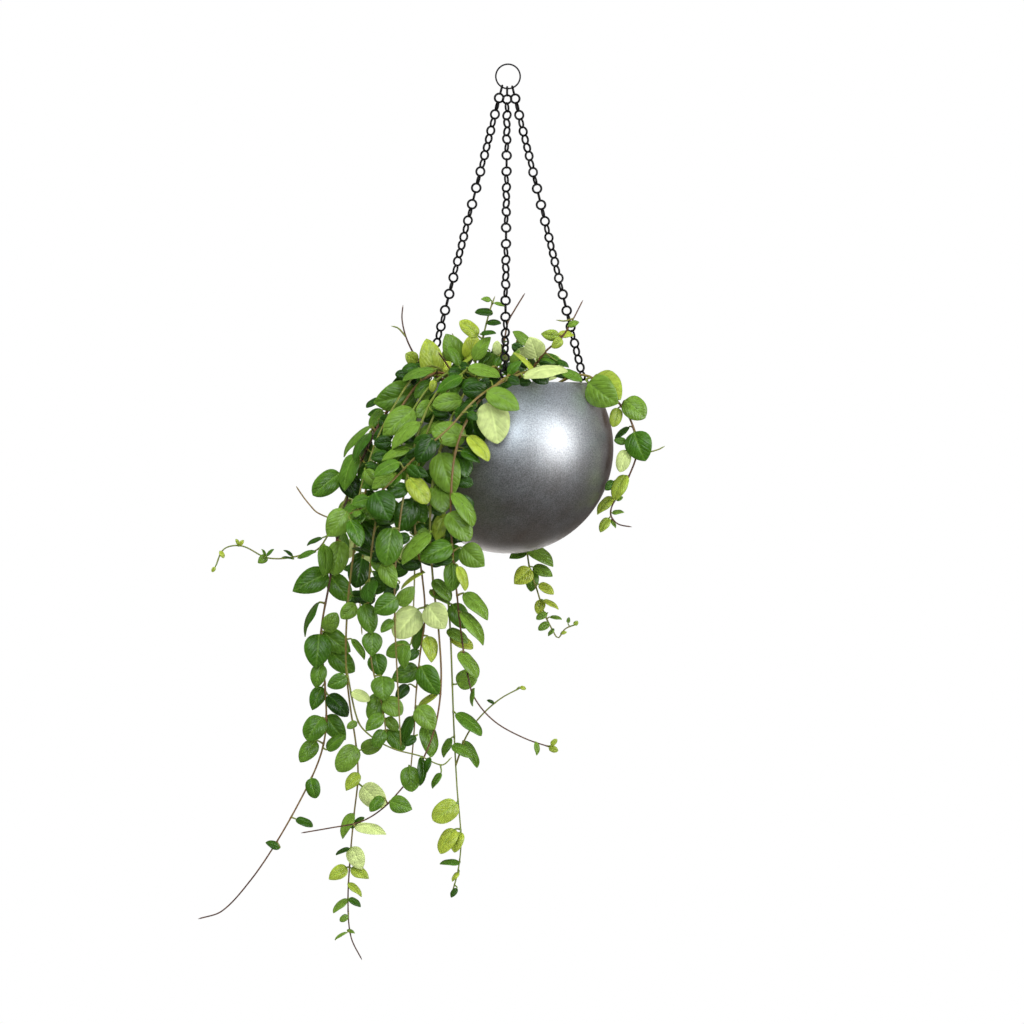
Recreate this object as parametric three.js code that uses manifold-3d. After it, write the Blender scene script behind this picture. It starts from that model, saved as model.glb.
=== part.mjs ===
// A trailing vine with round, fleshy leaves in opposite pairs, planted in a round gunmetal pot that hangs
// by three link chains from one ring. Millimetres, +Z up, and the origin is where a hook carries the ring.
import * as THREE from 'three';
import Module from 'manifold-3d';
import { mergeVertices } from 'three/addons/utils/BufferGeometryUtils.js';

const wasm = await Module();
wasm.setup();

// Driving dimensions of the holder.
const GLOBE_RADIUS = 105.5; // outside of the round pot
const GLOBE_CENTRE_Z = -383;
const RIM_Z = -318;
const WALL = 1.5;
const GLOBE_SIDES = 24;
const GLOBE_STEPS = 8;
const RING_OUTER_RADIUS = 13;
const RING_WIRE_RADIUS = 0.8;
const RING_SEGMENTS = 16;
const LINK_WIRE_RADIUS = 0.7;
const LINK_COUNT = 37; // in each chain
const LINK_SINK = 0.35; // how far two links' wires sink into each other
const LINK_SEGMENTS = 6;
const WIRE_SIDES = 3;
const SEAT_GAP = 0.3; // between pieces that hang on or stand in each other
const HOLE_RADIUS = 2.2;
const HOLE_SIDES = 8;
const HOLE_DROP = 5.2; // the chain holes' depth below the rim
const LAST_LINK_LIFT = 0.5; // how far the wire in a hole stands above the hole's middle
const CHAINS = [
  { name: 'chain_front', compass: -92, ringAngle: -4, twist: 540 },
  { name: 'chain_right', compass: 25, ringAngle: 22, twist: 180 },
  { name: 'chain_left', compass: 165, ringAngle: -30, twist: -180 },
];

// Driving dimensions of the plant.
const SOIL_TOP_Z = -331;
const SOIL_MOUND = 5; // how far the middle stands above the edge
const ROOT_HOLE_RADIUS = 2.5;
const ROOT_DEPTH = 12; // how far a stem stands in the soil
const ROOT_RISE = 5; // how far it rises before it leans
const STEM_RADIUS = 1.25;
const STEM_TIP_RADIUS = 0.6;
const LEAF_THICKNESS = 0.8;
const SMALL_LEAF = 24; // leaves shorter than this have a simpler outline
const LEAF_CLEARANCE = 2.2; // kept between one leaf's plane and another leaf
const STEM_CLEARANCE = 3.4; // and between it and the middle of a stem
const RIM_CLEARANCE = 2.5;
const POT_CLEARANCE = 2.2;
const CHAIN_CLEARANCE = 7.5; // from the chain's middle
const LONGEST_STEM_STEP = 34;
const SMALLEST_SHARE = 0.25; // of a vine's leaf length, at its tip
const TIP_GAP = 0.35;
const LOST_LEAVES = 0.1; // the share that has fallen
const NODE_STEP = 4;
const LONGEST_PETIOLE = 18;
const SHORTEST_PETIOLE = 3;
const BROADEST = 0.98; // a leaf's breadth as a share of its length
const NARROWEST = 0.66;
const FRONT_ROLL = 0.5; // the most that a leaf of the view is rolled, both ways together, in radians
const NEAR_SHARE = 0.4; // of the gap between pairs, within which a pair counts as there already
const STEM_SIDES = 4;
const SPARED_PROBES = 2; // of a filling leaf's, that may stand before leaves of the view
const FIRST_SEED = 20117;

const metal = new THREE.MeshStandardMaterial({ color: 0x5d6166, metalness: 0.85, roughness: 0.42 });
const blackWire = new THREE.MeshStandardMaterial({ color: 0x1c1b1d, metalness: 0.8, roughness: 0.45 });
const pottingMix = new THREE.MeshStandardMaterial({ color: 0x2d2119, metalness: 0, roughness: 0.95 });
const greenLeaf = new THREE.MeshStandardMaterial({ color: 0x3f7f2c, metalness: 0, roughness: 0.45 });

// Solids and geometry.
function toSolid(geometry) {
  const bare = geometry.index ? geometry.toNonIndexed() : geometry.clone();
  bare.deleteAttribute('normal');
  bare.deleteAttribute('uv');
  const merged = mergeVertices(bare, 1e-4);
  return new wasm.Manifold(new wasm.Mesh({
    numProp: 3,
    vertProperties: new Float32Array(merged.attributes.position.array),
    triVerts: new Uint32Array(merged.index.array),
  }));
}

function toGeometry(solid) {
  const mesh = solid.getMesh();
  const geometry = new THREE.BufferGeometry();
  geometry.setAttribute('position', new THREE.BufferAttribute(mesh.vertProperties, 3));
  geometry.setIndex(new THREE.BufferAttribute(mesh.triVerts, 1));
  geometry.computeVertexNormals();
  return geometry;
}

// A closed loop of wire about the Y axis, with flat stretches across +Z and -Z and a ridge turned inwards.
function wireLoop(loopRadius, wireRadius, sides, segments) {
  const profile = [];
  const mitre = Math.cos(Math.PI / segments);
  for (let i = 0; i <= sides; i += 1) {
    const angle = Math.PI + (2 * Math.PI * i) / sides;
    const radius = (loopRadius + wireRadius * Math.cos(angle)) / mitre;
    profile.push(new THREE.Vector2(radius, wireRadius * Math.sin(angle)));
  }
  return new THREE.LatheGeometry(profile, segments).rotateY(Math.PI / segments);
}

// The ring and the three chains.
const ringCentre = new THREE.Vector3(0, 0, -(RING_OUTER_RADIUS - 2 * RING_WIRE_RADIUS));
const ringLoopRadius = RING_OUTER_RADIUS - RING_WIRE_RADIUS;
const holeZ = RIM_Z - HOLE_DROP;
const holeReach = Math.sqrt((GLOBE_RADIUS - WALL / 2) ** 2 - (holeZ - GLOBE_CENTRE_Z) ** 2);

function ringGeometry() {
  return wireLoop(ringLoopRadius, RING_WIRE_RADIUS, 4, RING_SEGMENTS).translate(0, 0, ringCentre.z);
}

function outwards(compass) {
  const angle = THREE.MathUtils.degToRad(compass);
  return new THREE.Vector3(Math.cos(angle), Math.sin(angle), 0);
}

// Where a chain's ends are: its run from the ring's wire to the hole in the wall.
function chainRun({ compass, ringAngle }) {
  const lean = THREE.MathUtils.degToRad(ringAngle);
  const onRing = new THREE.Vector3(Math.sin(lean), 0, -Math.cos(lean));
  onRing.multiplyScalar(ringLoopRadius).add(ringCentre);
  const atHole = outwards(compass).multiplyScalar(holeReach).setZ(holeZ);
  const along = atHole.clone().sub(onRing).normalize();
  const start = onRing.clone().addScaledVector(along, -(RING_WIRE_RADIUS + LINK_WIRE_RADIUS + SEAT_GAP));
  const end = atHole.clone().addScaledVector(along, -LAST_LINK_LIFT);
  return { onRing, atHole, along, start, end };
}

function chainSolid(chain) {
  const { along, start, end } = chainRun(chain);
  const shared = 2 * LINK_WIRE_RADIUS - LINK_SINK;
  const loopRadius = (start.distanceTo(end) + (LINK_COUNT - 1) * shared) / (2 * LINK_COUNT);
  const pitch = 2 * loopRadius - shared;
  const first = new THREE.Vector3(0, 1, 0).projectOnPlane(along).normalize();
  const last = outwards(chain.compass).projectOnPlane(along).normalize();
  let turn = Math.atan2(new THREE.Vector3().crossVectors(first, last).dot(along), first.dot(last));
  turn += THREE.MathUtils.degToRad(chain.twist);
  const links = [];
  for (let i = 0; i < LINK_COUNT; i += 1) {
    const inPlane = first.clone().applyAxisAngle(along, (i * Math.PI) / 2 + (turn * i) / (LINK_COUNT - 1));
    const across = new THREE.Vector3().crossVectors(along, inPlane);
    const centre = start.clone().addScaledVector(along, loopRadius + i * pitch);
    const place = new THREE.Matrix4().makeBasis(inPlane, across, along.clone()).setPosition(centre);
    const link = wireLoop(loopRadius, LINK_WIRE_RADIUS, WIRE_SIDES, LINK_SEGMENTS);
    links.push(toSolid(link.applyMatrix4(place)));
  }
  return wasm.Manifold.union(links);
}

// The pot: a round metal shell with an open top and three holes for the chains.
function globeProfile(radius, steps, topZ) {
  const topAngle = Math.acos((topZ - GLOBE_CENTRE_Z) / radius);
  const profile = [];
  for (let i = 0; i <= steps; i += 1) {
    const angle = Math.PI - ((Math.PI - topAngle) * i) / steps;
    const reach = i === 0 ? 0 : radius * Math.sin(angle);
    profile.push(new THREE.Vector2(reach, GLOBE_CENTRE_Z + radius * Math.cos(angle)));
  }
  return profile;
}

function lathed(profile, sides) {
  return new THREE.LatheGeometry(profile, sides).rotateX(Math.PI / 2);
}

function potSolid() {
  const outer = globeProfile(GLOBE_RADIUS, GLOBE_STEPS, RIM_Z);
  const inner = globeProfile(GLOBE_RADIUS - WALL, GLOBE_STEPS, RIM_Z).reverse();
  let pot = toSolid(lathed([...outer, ...inner], GLOBE_SIDES));
  for (const chain of CHAINS) {
    const { atHole } = chainRun(chain);
    const wallNormal = atHole.clone().setZ(atHole.z - GLOBE_CENTRE_Z).normalize();
    const drillRadius = HOLE_RADIUS / Math.cos(Math.PI / HOLE_SIDES);
    const drill = new THREE.CylinderGeometry(drillRadius, drillRadius, 8 * WALL, HOLE_SIDES);
    const lean = new THREE.Quaternion().setFromUnitVectors(new THREE.Vector3(0, 1, 0), wallNormal);
    drill.applyQuaternion(lean).translate(atHole.x, atHole.y, atHole.z);
    pot = pot.subtract(toSolid(drill));
  }
  return pot;
}

// The plant. Each vine has a root place in the soil, a route in millimetres from there, the length of its
// largest leaves, the gap between its pairs of leaves, the bare lengths at its root and its tip, the last
// length in which its leaves get smaller, how far they droop, and how much they turn to the front. Its
// side shoots start at a share of its length. Gaps shrink to TIP_GAP of themselves at the tip, or to the
// vine's own tipGap.
const VINES = [
  { name: 'vine_left_long', root: [-48, -10], leaf: 33, gap: 30, bare: 34, tipBare: 104, taper: 170,
    tipGap: 1.4, droop: 0.8, front: 0.8,
    route: [[-70, -17, -312], [-84, -23, -308], [-100, -32, -320], [-123, -42, -350], [-144, -50, -390],
      [-160, -54, -430], [-171, -58, -475], [-179, -60, -520], [-187, -62, -570], [-183, -60, -620],
      [-182, -60, -662], [-188, -60, -692], [-204, -60, -728], [-232, -60, -778], [-258, -60, -816],
      [-286, -58, -846], [-310, -56, -854]],
    shoots: [{ at: 0.24, leaf: 13, gap: 34, bare: 40, tipBare: 3, taper: 20,
      route: [[-186, -66, -480], [-210, -68, -491], [-240, -70, -493], [-266, -72, -481],
        [-284, -72, -484], [-293, -72, -503]] }] },
  { name: 'vine_lowest', root: [-40, -26], leaf: 32, gap: 31, bare: 34, tipBare: 14, taper: 190,
    droop: 0.8, front: 0.9,
    route: [[-57, -38, -312], [-72, -49, -308], [-94, -64, -324], [-117, -77, -362], [-136, -86, -405],
      [-148, -90, -450], [-156, -92, -500], [-161, -90, -550], [-162, -86, -600], [-158, -82, -640],
      [-152, -78, -680], [-150, -76, -712], [-154, -74, -750], [-158, -72, -795], [-160, -70, -838],
      [-157, -70, -872], [-146, -70, -895]],
    shoots: [{ at: 0.565, leaf: 18, gap: 34, bare: 32, tipBare: 4, taper: 40,
      route: [[-150, -92, -656], [-136, -98, -672], [-114, -104, -684], [-88, -109, -691],
        [-66, -112, -700], [-56, -112, -692]] }] },
  { name: 'vine_inner_left', root: [-30, -34], leaf: 31, gap: 30, bare: 34, tipBare: 6, taper: 50,
    droop: 0.8, front: 1,
    route: [[-44, -52, -311], [-58, -66, -307], [-82, -84, -326], [-104, -98, -364], [-121, -106, -410],
      [-132, -110, -455], [-138, -110, -505], [-140, -106, -555], [-136, -102, -600], [-126, -100, -640],
      [-121, -98, -676]] },
  { name: 'vine_inner_right', root: [-22, -44], leaf: 31, gap: 31, bare: 34, tipBare: 6, taper: 50,
    droop: 0.8, front: 1,
    route: [[-35, -60, -311], [-47, -73, -307], [-70, -92, -326], [-88, -110, -362], [-100, -120, -408],
      [-108, -124, -455], [-113, -124, -505], [-113, -118, -560], [-111, -114, -605], [-109, -112, -645],
      [-107, -112, -682]] },
  { name: 'vine_middle', root: [-16, -32], leaf: 35, gap: 35, bare: 40, tipBare: 8, taper: 70,
    droop: 0.8, front: 1,
    route: [[-26, -58, -307], [-36, -78, -302], [-56, -98, -320], [-78, -104, -360], [-91, -106, -410],
      [-93, -108, -465], [-86, -106, -510], [-83, -104, -550], [-88, -102, -590], [-92, -100, -630],
      [-94, -100, -668], [-98, -100, -712]] },
  { name: 'vine_middle_curl', root: [-8, -52], leaf: 31, gap: 34, bare: 34, tipBare: 34, taper: 140,
    droop: 0.8, front: 1,
    route: [[-18, -69, -311], [-26, -82, -307], [-42, -100, -326], [-60, -112, -362], [-74, -114, -410],
      [-78, -112, -460], [-75, -110, -515], [-69, -108, -570], [-67, -106, -620], [-73, -106, -662],
      [-88, -106, -700], [-105, -104, -722], [-126, -102, -744], [-148, -100, -757], [-178, -98, -763],
      [-207, -96, -768]] },
  { name: 'vine_right_middle', root: [0, -40], leaf: 31, gap: 44, bare: 44, tipBare: 6, taper: 90,
    droop: 0.85, front: 1,
    route: [[-9, -66, -307], [-15, -84, -302], [-30, -98, -322], [-46, -104, -356], [-58, -104, -404],
      [-64, -100, -456], [-62, -94, -508], [-58, -90, -560], [-56, -88, -610], [-54, -84, -665],
      [-51, -82, -722], [-47, -80, -775], [-50, -78, -806], [-56, -78, -828]],
    shoots: [{ at: 0.79, leaf: 12, gap: 30, bare: 34, tipBare: 2, taper: 20,
      route: [[-42, -90, -672], [-28, -92, -652], [-8, -94, -634], [14, -94, -622]] }] },
  { name: 'vine_right_front', root: [12, -52], leaf: 31, gap: 34, bare: 40, tipBare: 94, taper: 90,
    droop: 0.8, front: 1,
    route: [[12, -70, -311], [9, -86, -307], [-12, -108, -320], [-36, -124, -346], [-52, -130, -385],
      [-57, -130, -430], [-56, -124, -480], [-51, -116, -530], [-46, -110, -575], [-41, -108, -606],
      [-34, -106, -632], [-14, -104, -656], [16, -102, -673], [45, -100, -683]] },
  { name: 'vine_diagonal', root: [24, -46], leaf: 37, gap: 29, bare: 40, tipBare: 66, taper: 120,
    droop: 0.5, front: 1,
    route: [[26, -68, -311], [20, -88, -307], [-4, -112, -316], [-32, -134, -334], [-60, -142, -364],
      [-88, -142, -388], [-114, -138, -414], [-142, -134, -440], [-172, -130, -453], [-190, -126, -448],
      [-199, -123, -439], [-206, -121, -430], [-212, -120, -421]] },
  { name: 'vine_shoulder', root: [-54, -28], leaf: 38, gap: 27, bare: 28, tipBare: 4, taper: 60,
    droop: 0.7, front: 0.9,
    route: [[-66, -37, -306], [-78, -49, -301], [-93, -66, -310], [-112, -84, -338], [-130, -98, -372],
      [-144, -108, -412], [-154, -114, -452]] },
  { name: 'vine_back_left', root: [-44, 30], leaf: 34, gap: 40, bare: 46, tipBare: 8, taper: 110,
    droop: 0.75, front: 0,
    route: [[-58, 44, -310], [-72, 55, -306], [-96, 68, -326], [-120, 72, -366], [-135, 68, -420],
      [-144, 60, -480], [-148, 50, -530], [-146, 44, -570]] },
  { name: 'vine_back', root: [-18, 40], leaf: 34, gap: 41, bare: 46, tipBare: 8, taper: 100,
    droop: 0.75, front: 0,
    route: [[-28, 62, -310], [-38, 77, -306], [-56, 95, -326], [-74, 106, -366], [-85, 102, -420],
      [-92, 92, -475], [-94, 80, -530], [-96, 72, -580]] },
  { name: 'vine_behind_low', root: [18, 42], leaf: 30, gap: 31, bare: 50, tipBare: 3, taper: 120,
    droop: 0.75, front: 0,
    route: [[20, 64, -311], [20, 82, -307], [20, 106, -328], [19, 118, -370], [18, 114, -420],
      [18, 104, -465], [21, 97, -500], [29, 93, -525], [37, 91, -550], [44, 90, -564], [50, 90, -573],
      [57, 90, -564], [69, 90, -559]] },
  { name: 'vine_right', root: [40, -22], leaf: 35, gap: 25, bare: 48, tipBare: 3, taper: 110,
    droop: 0.8, front: 0.8,
    route: [[60, -26, -313], [76, -28, -310], [93, -32, -319], [110, -36, -337], [121, -38, -352],
      [127, -39, -368], [130, -39, -382], [127, -38, -396], [120, -37, -413], [112, -35, -428],
      [104, -33, -441], [103, -32, -451], [110, -32, -459], [124, -32, -462]],
    shoots: [{ at: 0.53, leaf: 10, gap: 30, bare: 28, tipBare: 1, taper: 8,
      route: [[138, -44, -386], [149, -44, -385], [157, -44, -381]] }] },
  { name: 'shoot_tall_left', root: [-56, 6], leaf: 17, gap: 20, bare: 46, tipBare: 20, taper: 40,
    droop: -0.2, front: 0.5,
    route: [[-70, 6, -312], [-84, 2, -302], [-94, -4, -289], [-102, -9, -272], [-106, -11, -254],
      [-105, -12, -240]],
    shoots: [{ at: 0.74, leaf: 8, gap: 20, bare: 20, tipBare: 20, taper: 8,
      route: [[-110, -11, -263], [-117, -11, -261]] }] },
  { name: 'shoot_left', root: [-48, -44], leaf: 22, gap: 20, bare: 22, tipBare: 3, taper: 40,
    droop: 0.2, front: 1,
    route: [[-54, -52, -312], [-62, -59, -298], [-70, -64, -287]] },
  { name: 'shoot_centre_left', root: [-28, -12], leaf: 22, gap: 20, bare: 18, tipBare: 16, taper: 60,
    droop: -0.1, front: 0.8,
    route: [[-32, -18, -310], [-32, -22, -292], [-26, -24, -276], [-22, -24, -260], [-18, -24, -245],
      [-13, -24, -231]] },
  { name: 'shoot_centre', root: [-8, -16], leaf: 20, gap: 20, bare: 20, tipBare: 44, taper: 70,
    droop: 0.1, front: 0.8,
    route: [[-8, -22, -310], [-7, -28, -294], [-3, -30, -272], [0, -30, -257], [6, -30, -246],
      [17, -30, -228]] },
  { name: 'shoot_right', root: [16, -10], leaf: 20, gap: 20, bare: 20, tipBare: 6, taper: 60,
    droop: 0, front: 0.8,
    route: [[20, -16, -312], [28, -22, -299], [38, -26, -286], [53, -28, -273], [63, -30, -258],
      [75, -30, -235]],
    shoots: [{ at: 0.84, leaf: 8, gap: 20, bare: 20, tipBare: 20, taper: 8,
      route: [[57, -30, -256], [48, -30, -255]] }] },
  { name: 'shoot_back', root: [2, 20], leaf: 33, gap: 21, bare: 20, tipBare: 5, taper: 50,
    droop: 0, front: -0.5,
    route: [[2, 26, -311], [4, 34, -295], [8, 44, -281], [10, 54, -270]] },
  { name: 'shoot_back_left', root: [-28, 12], leaf: 33, gap: 21, bare: 20, tipBare: 5, taper: 50,
    droop: 0, front: 0.1,
    route: [[-34, 16, -311], [-42, 22, -296], [-50, 28, -281], [-56, 32, -268]] },
];

// What a viewer in front of the plant sees is written down where it shows in the plane through the ring,
// and stands nearer to the middle of the view if it hangs before that plane. The routes above are so too.
const VIEWER = new THREE.Vector3(4, -8000, -447);

function fromView(x, y, z) {
  const share = 1 - y / VIEWER.y;
  return new THREE.Vector3(VIEWER.x + share * (x - VIEWER.x), y, VIEWER.z + share * (z - VIEWER.z));
}

// The outline of the thick of the plant, in millimetres to the right of and below the view's corner.
const VIEW_CORNER = new THREE.Vector3(-508, 0, 65);
const THICKET = [[412, 354], [445, 334], [500, 340], [545, 346], [574, 370], [574, 384], [508, 388],
  [508, 430], [490, 456], [478, 500], [464, 560], [440, 568], [404, 574], [394, 606], [372, 606], [345, 604],
  [322, 592], [328, 560], [325, 536], [340, 508], [336, 482], [350, 450], [362, 430], [368, 402],
  [390, 380]];

// The leaves that show in that view: the foot, the tip and the breadth of each, as in the outline. Each
// grows from the stem that passes its foot.
const FRONT_LEAVES = [
  // beside and over the right of the rim
  [588, 383, 617, 404, 33], [597, 374, 623, 403, 33], [625, 400, 645, 418, 24], [618, 408, 613, 427, 13],
  [629, 427, 615, 440, 6], [634, 432, 645, 461, 28], [626, 450, 620, 472, 15], [626, 442, 614, 440, 8],
  [626, 475, 614, 500, 13], [614, 481, 604, 492, 11], [613, 497, 597, 514, 12], [616, 500, 623, 497, 5],
  [612, 513, 624, 512, 5], [609, 518, 600, 532, 8], [611, 520, 616, 528, 4],
  // standing above the pot, right to left
  [537, 358, 530, 338, 23], [559, 336, 541, 334, 12], [562, 339, 552, 348, 10], [558, 334, 574, 335, 6],
  [568, 326, 579, 322, 6], [541, 356, 561, 363, 11], [557, 361, 569, 367, 6], [523, 377, 567, 370, 17],
  [562, 372, 582, 381, 10], [529, 345, 513, 331, 9], [536, 376, 514, 352, 6], [512, 366, 519, 350, 10],
  [508, 374, 521, 361, 11], [434, 377, 427, 339, 23], [460, 362, 446, 334, 23], [459, 366, 449, 346, 9],
  [468, 359, 475, 335, 18], [474, 360, 490, 337, 16], [478, 336, 460, 321, 14], [491, 300, 481, 299, 5],
  [493, 313, 475, 312, 6], [487, 323, 501, 323, 5], [494, 303, 505, 306, 4], [417, 362, 406, 354, 14],
  [436, 375, 451, 362, 12], [501, 354, 494, 368, 10], [481, 334, 496, 333, 5], [497, 355, 497, 341, 9],
  [490, 352, 479, 365, 8],
  // over the left of the rim
  [417, 392, 374, 403, 32], [434, 370, 403, 380, 9], [430, 382, 415, 398, 15], [436, 381, 422, 407, 10],
  [434, 380, 432, 392, 8], [432, 402, 417, 417, 16], [462, 400, 433, 405, 19], [462, 396, 490, 416, 16],
  [487, 392, 519, 409, 20], [488, 390, 463, 391, 18], [488, 378, 456, 378, 6], [462, 377, 437, 392, 10],
  [468, 368, 500, 376, 8], [480, 377, 494, 377, 5], [486, 352, 446, 376, 6], [380, 399, 366, 407, 7],
  [382, 410, 370, 428, 9], [414, 410, 383, 435, 25], [419, 422, 392, 448, 14], [371, 426, 343, 456, 13],
  [370, 433, 355, 462, 9], [378, 427, 370, 438, 8], [370, 440, 363, 471, 13], [356, 454, 344, 490, 20],
  [340, 473, 313, 495, 21], [345, 474, 358, 500, 22], [399, 462, 374, 476, 16], [409, 448, 382, 460, 8],
  [365, 470, 378, 486, 14], [394, 474, 372, 488, 12], [382, 489, 358, 497, 6], [408, 487, 385, 496, 14],
  // in front of the pot's left side
  [446, 425, 417, 433, 14], [466, 437, 432, 431, 25], [489, 402, 498, 443, 34], [468, 436, 489, 460, 16],
  [461, 451, 480, 462, 8], [432, 438, 418, 462, 20], [440, 453, 453, 494, 31], [433, 462, 440, 485, 13],
  [409, 478, 428, 503, 19], [440, 484, 443, 512, 28], [453, 493, 474, 525, 11], [412, 497, 425, 522, 20],
  [414, 500, 398, 531, 26], [448, 513, 470, 540, 24], [446, 514, 436, 540, 18], [452, 545, 421, 560, 22],
  [430, 533, 402, 563, 12], [428, 530, 417, 537, 10], [462, 547, 484, 566, 25],
  // left of the pot and below its middle
  [347, 511, 328, 536, 26], [351, 500, 338, 510, 8], [350, 520, 361, 546, 16], [375, 492, 390, 520, 30],
  [392, 528, 386, 565, 27], [362, 522, 378, 550, 18], [341, 541, 334, 575, 22], [325, 545, 325, 576, 16],
  [328, 573, 293, 591, 24], [330, 576, 350, 600, 22], [362, 558, 356, 588, 24], [383, 563, 395, 588, 18],
  [352, 548, 380, 560, 8], [376, 590, 367, 596, 6], [322, 538, 307, 545, 5], [299, 558, 316, 551, 5],
  [293, 559, 282, 557, 3], [293, 556, 284, 550, 3], [267, 556, 258, 563, 9], [266, 556, 262, 549, 3],
  [267, 556, 274, 549, 3], [239, 545, 236, 539, 4], [240, 545, 244, 540, 4], [220, 551, 224, 558, 5],
  [215, 567, 212, 572, 4],
  // behind the pot, below it
  [527, 546, 554, 566, 18], [533, 567, 553, 576, 13], [531, 569, 514, 584, 19], [533, 571, 531, 592, 14],
  [527, 551, 509, 558, 10], [539, 584, 554, 594, 8], [542, 600, 537, 614, 11], [543, 600, 559, 609, 7],
  [547, 613, 536, 619, 8], [549, 623, 538, 630, 8], [550, 617, 562, 619, 5], [554, 629, 548, 636, 5],
  [561, 633, 567, 632, 4], [568, 623, 569, 617, 4], [574, 625, 578, 621, 5],
  // the hanging strands, from the pot's foot down
  [425, 572, 401, 588, 5], [452, 563, 452, 591, 18], [458, 566, 466, 590, 12], [433, 580, 451, 600, 14],
  [430, 590, 450, 604, 10], [464, 593, 488, 619, 16], [452, 604, 466, 628, 20], [428, 605, 445, 628, 26],
  [418, 609, 395, 637, 29], [398, 605, 414, 587, 16], [397, 598, 375, 612, 22], [356, 605, 341, 618, 16],
  [364, 604, 372, 633, 20], [393, 620, 381, 632, 10], [461, 612, 484, 644, 12], [447, 630, 468, 642, 12],
  [450, 637, 473, 648, 12], [428, 636, 432, 662, 16], [422, 625, 415, 650, 9], [459, 652, 478, 677, 10],
  [457, 684, 477, 674, 20], [456, 713, 482, 734, 15], [474, 688, 472, 706, 4], [437, 695, 417, 708, 6],
  [421, 666, 438, 694, 24], [418, 706, 434, 729, 22], [425, 725, 432, 757, 18], [416, 736, 405, 745, 8],
  [452, 745, 473, 756, 12], [463, 741, 478, 767, 7], [451, 738, 443, 757, 8], [410, 645, 386, 655, 15],
  [405, 645, 404, 668, 12], [418, 650, 407, 660, 10], [418, 668, 392, 680, 20], [408, 685, 396, 700, 12],
  [372, 632, 372, 656, 21], [375, 654, 381, 676, 20], [382, 676, 384, 700, 24], [352, 639, 365, 659, 9],
  [379, 698, 372, 722, 19], [352, 692, 370, 700, 10], [347, 677, 328, 686, 16], [384, 698, 367, 704, 15],
  [383, 715, 366, 730, 14], [384, 700, 402, 714, 20], [384, 730, 374, 747, 14], [388, 730, 404, 750, 17],
  [386, 718, 398, 730, 12], [412, 716, 403, 743, 12], [319, 602, 304, 636, 5], [325, 631, 337, 613, 17],
  [319, 634, 316, 668, 28], [323, 632, 350, 652, 22], [330, 652, 354, 672, 22], [321, 664, 316, 688, 17],
  [322, 687, 312, 710, 15], [328, 695, 348, 716, 18], [322, 717, 307, 740, 23], [326, 716, 345, 740, 21],
  [316, 741, 300, 762, 17], [327, 750, 345, 735, 13], [311, 778, 316, 798, 15], [296, 819, 313, 826, 9],
  [280, 848, 266, 842, 7], [356, 746, 338, 771, 22], [357, 722, 347, 728, 8], [361, 750, 383, 742, 16],
  [359, 773, 346, 790, 12], [362, 786, 385, 806, 24], [383, 797, 370, 811, 12], [409, 766, 412, 791, 20],
  [390, 801, 412, 809, 18], [421, 757, 421, 785, 9], [441, 773, 432, 788, 8], [430, 757, 426, 772, 6],
  [353, 813, 342, 838, 14], [351, 828, 364, 817, 7], [355, 827, 386, 833, 12], [351, 847, 362, 869, 18],
  [350, 848, 336, 854, 4], [347, 867, 329, 879, 13], [351, 868, 369, 878, 12], [348, 883, 362, 896, 8],
  [348, 899, 333, 912, 8], [349, 898, 361, 906, 6], [348, 915, 340, 921, 7], [347, 932, 335, 939, 3],
  [347, 930, 355, 933, 4], [457, 803, 433, 820, 22], [455, 829, 440, 853, 14], [461, 832, 454, 852, 11],
  [460, 863, 440, 863, 3], [459, 872, 452, 881, 6], [457, 888, 451, 897, 5], [549, 747, 558, 751, 7],
  [551, 745, 557, 739, 5], [536, 742, 537, 755, 4], [520, 687, 526, 689, 4], [494, 703, 487, 700, 4],
];

// Numbers between 0 and 1, the same each time for the same seed.
function drawsFrom(seed) {
  let state = seed >>> 0;
  return () => {
    state = (Math.imul(state, 1664525) + 1013904223) >>> 0;
    return state / 4294967296;
  };
}

// A smooth line through the points, as close samples with the length up to each.
function smoothLine(corners) {
  const steps = 10;
  const last = corners.length - 1;
  const reach = corners.slice(1).map((corner, i) => corner.distanceTo(corners[i]));
  const tangents = corners.map((corner, i) => {
    const span = (reach[i - 1] ?? 0) + (reach[i] ?? 0);
    return corners[Math.min(i + 1, last)].clone().sub(corners[Math.max(i - 1, 0)]).divideScalar(span);
  });
  const samples = [corners[0].clone()];
  const lengths = [0];
  for (let span = 0; span < last; span += 1) {
    for (let i = 1; i <= steps; i += 1) {
      const t = i / steps;
      const sample = corners[span].clone().multiplyScalar(2 * t ** 3 - 3 * t ** 2 + 1)
        .addScaledVector(tangents[span], reach[span] * (t ** 3 - 2 * t ** 2 + t))
        .addScaledVector(corners[span + 1], 3 * t ** 2 - 2 * t ** 3)
        .addScaledVector(tangents[span + 1], reach[span] * (t ** 3 - t ** 2));
      lengths.push(lengths.at(-1) + sample.distanceTo(samples.at(-1)));
      samples.push(sample);
    }
  }
  return { samples, lengths, length: lengths.at(-1) };
}

// The point and the direction at a length along a smooth line.
function onLine(line, distance) {
  let i = 1;
  while (i < line.lengths.length - 1 && line.lengths[i] < distance) i += 1;
  const share = (distance - line.lengths[i - 1]) / (line.lengths[i] - line.lengths[i - 1]);
  const point = line.samples[i - 1].clone().lerp(line.samples[i], share);
  const along = line.samples[i].clone().sub(line.samples[i - 1]).normalize();
  return { point, along };
}

function stemRadius(stem, distance) {
  return THREE.MathUtils.lerp(STEM_RADIUS * stem.girth, STEM_TIP_RADIUS, distance / stem.line.length);
}

const asSeen = (rows) => rows.map(([x, y, z]) => fromView(x, y, z));

// Leaves stand only at these steps along a stem, so that each node has its own short stretch of it.
function nodeAt(distance) {
  return NODE_STEP * Math.round(distance / NODE_STEP);
}

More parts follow.
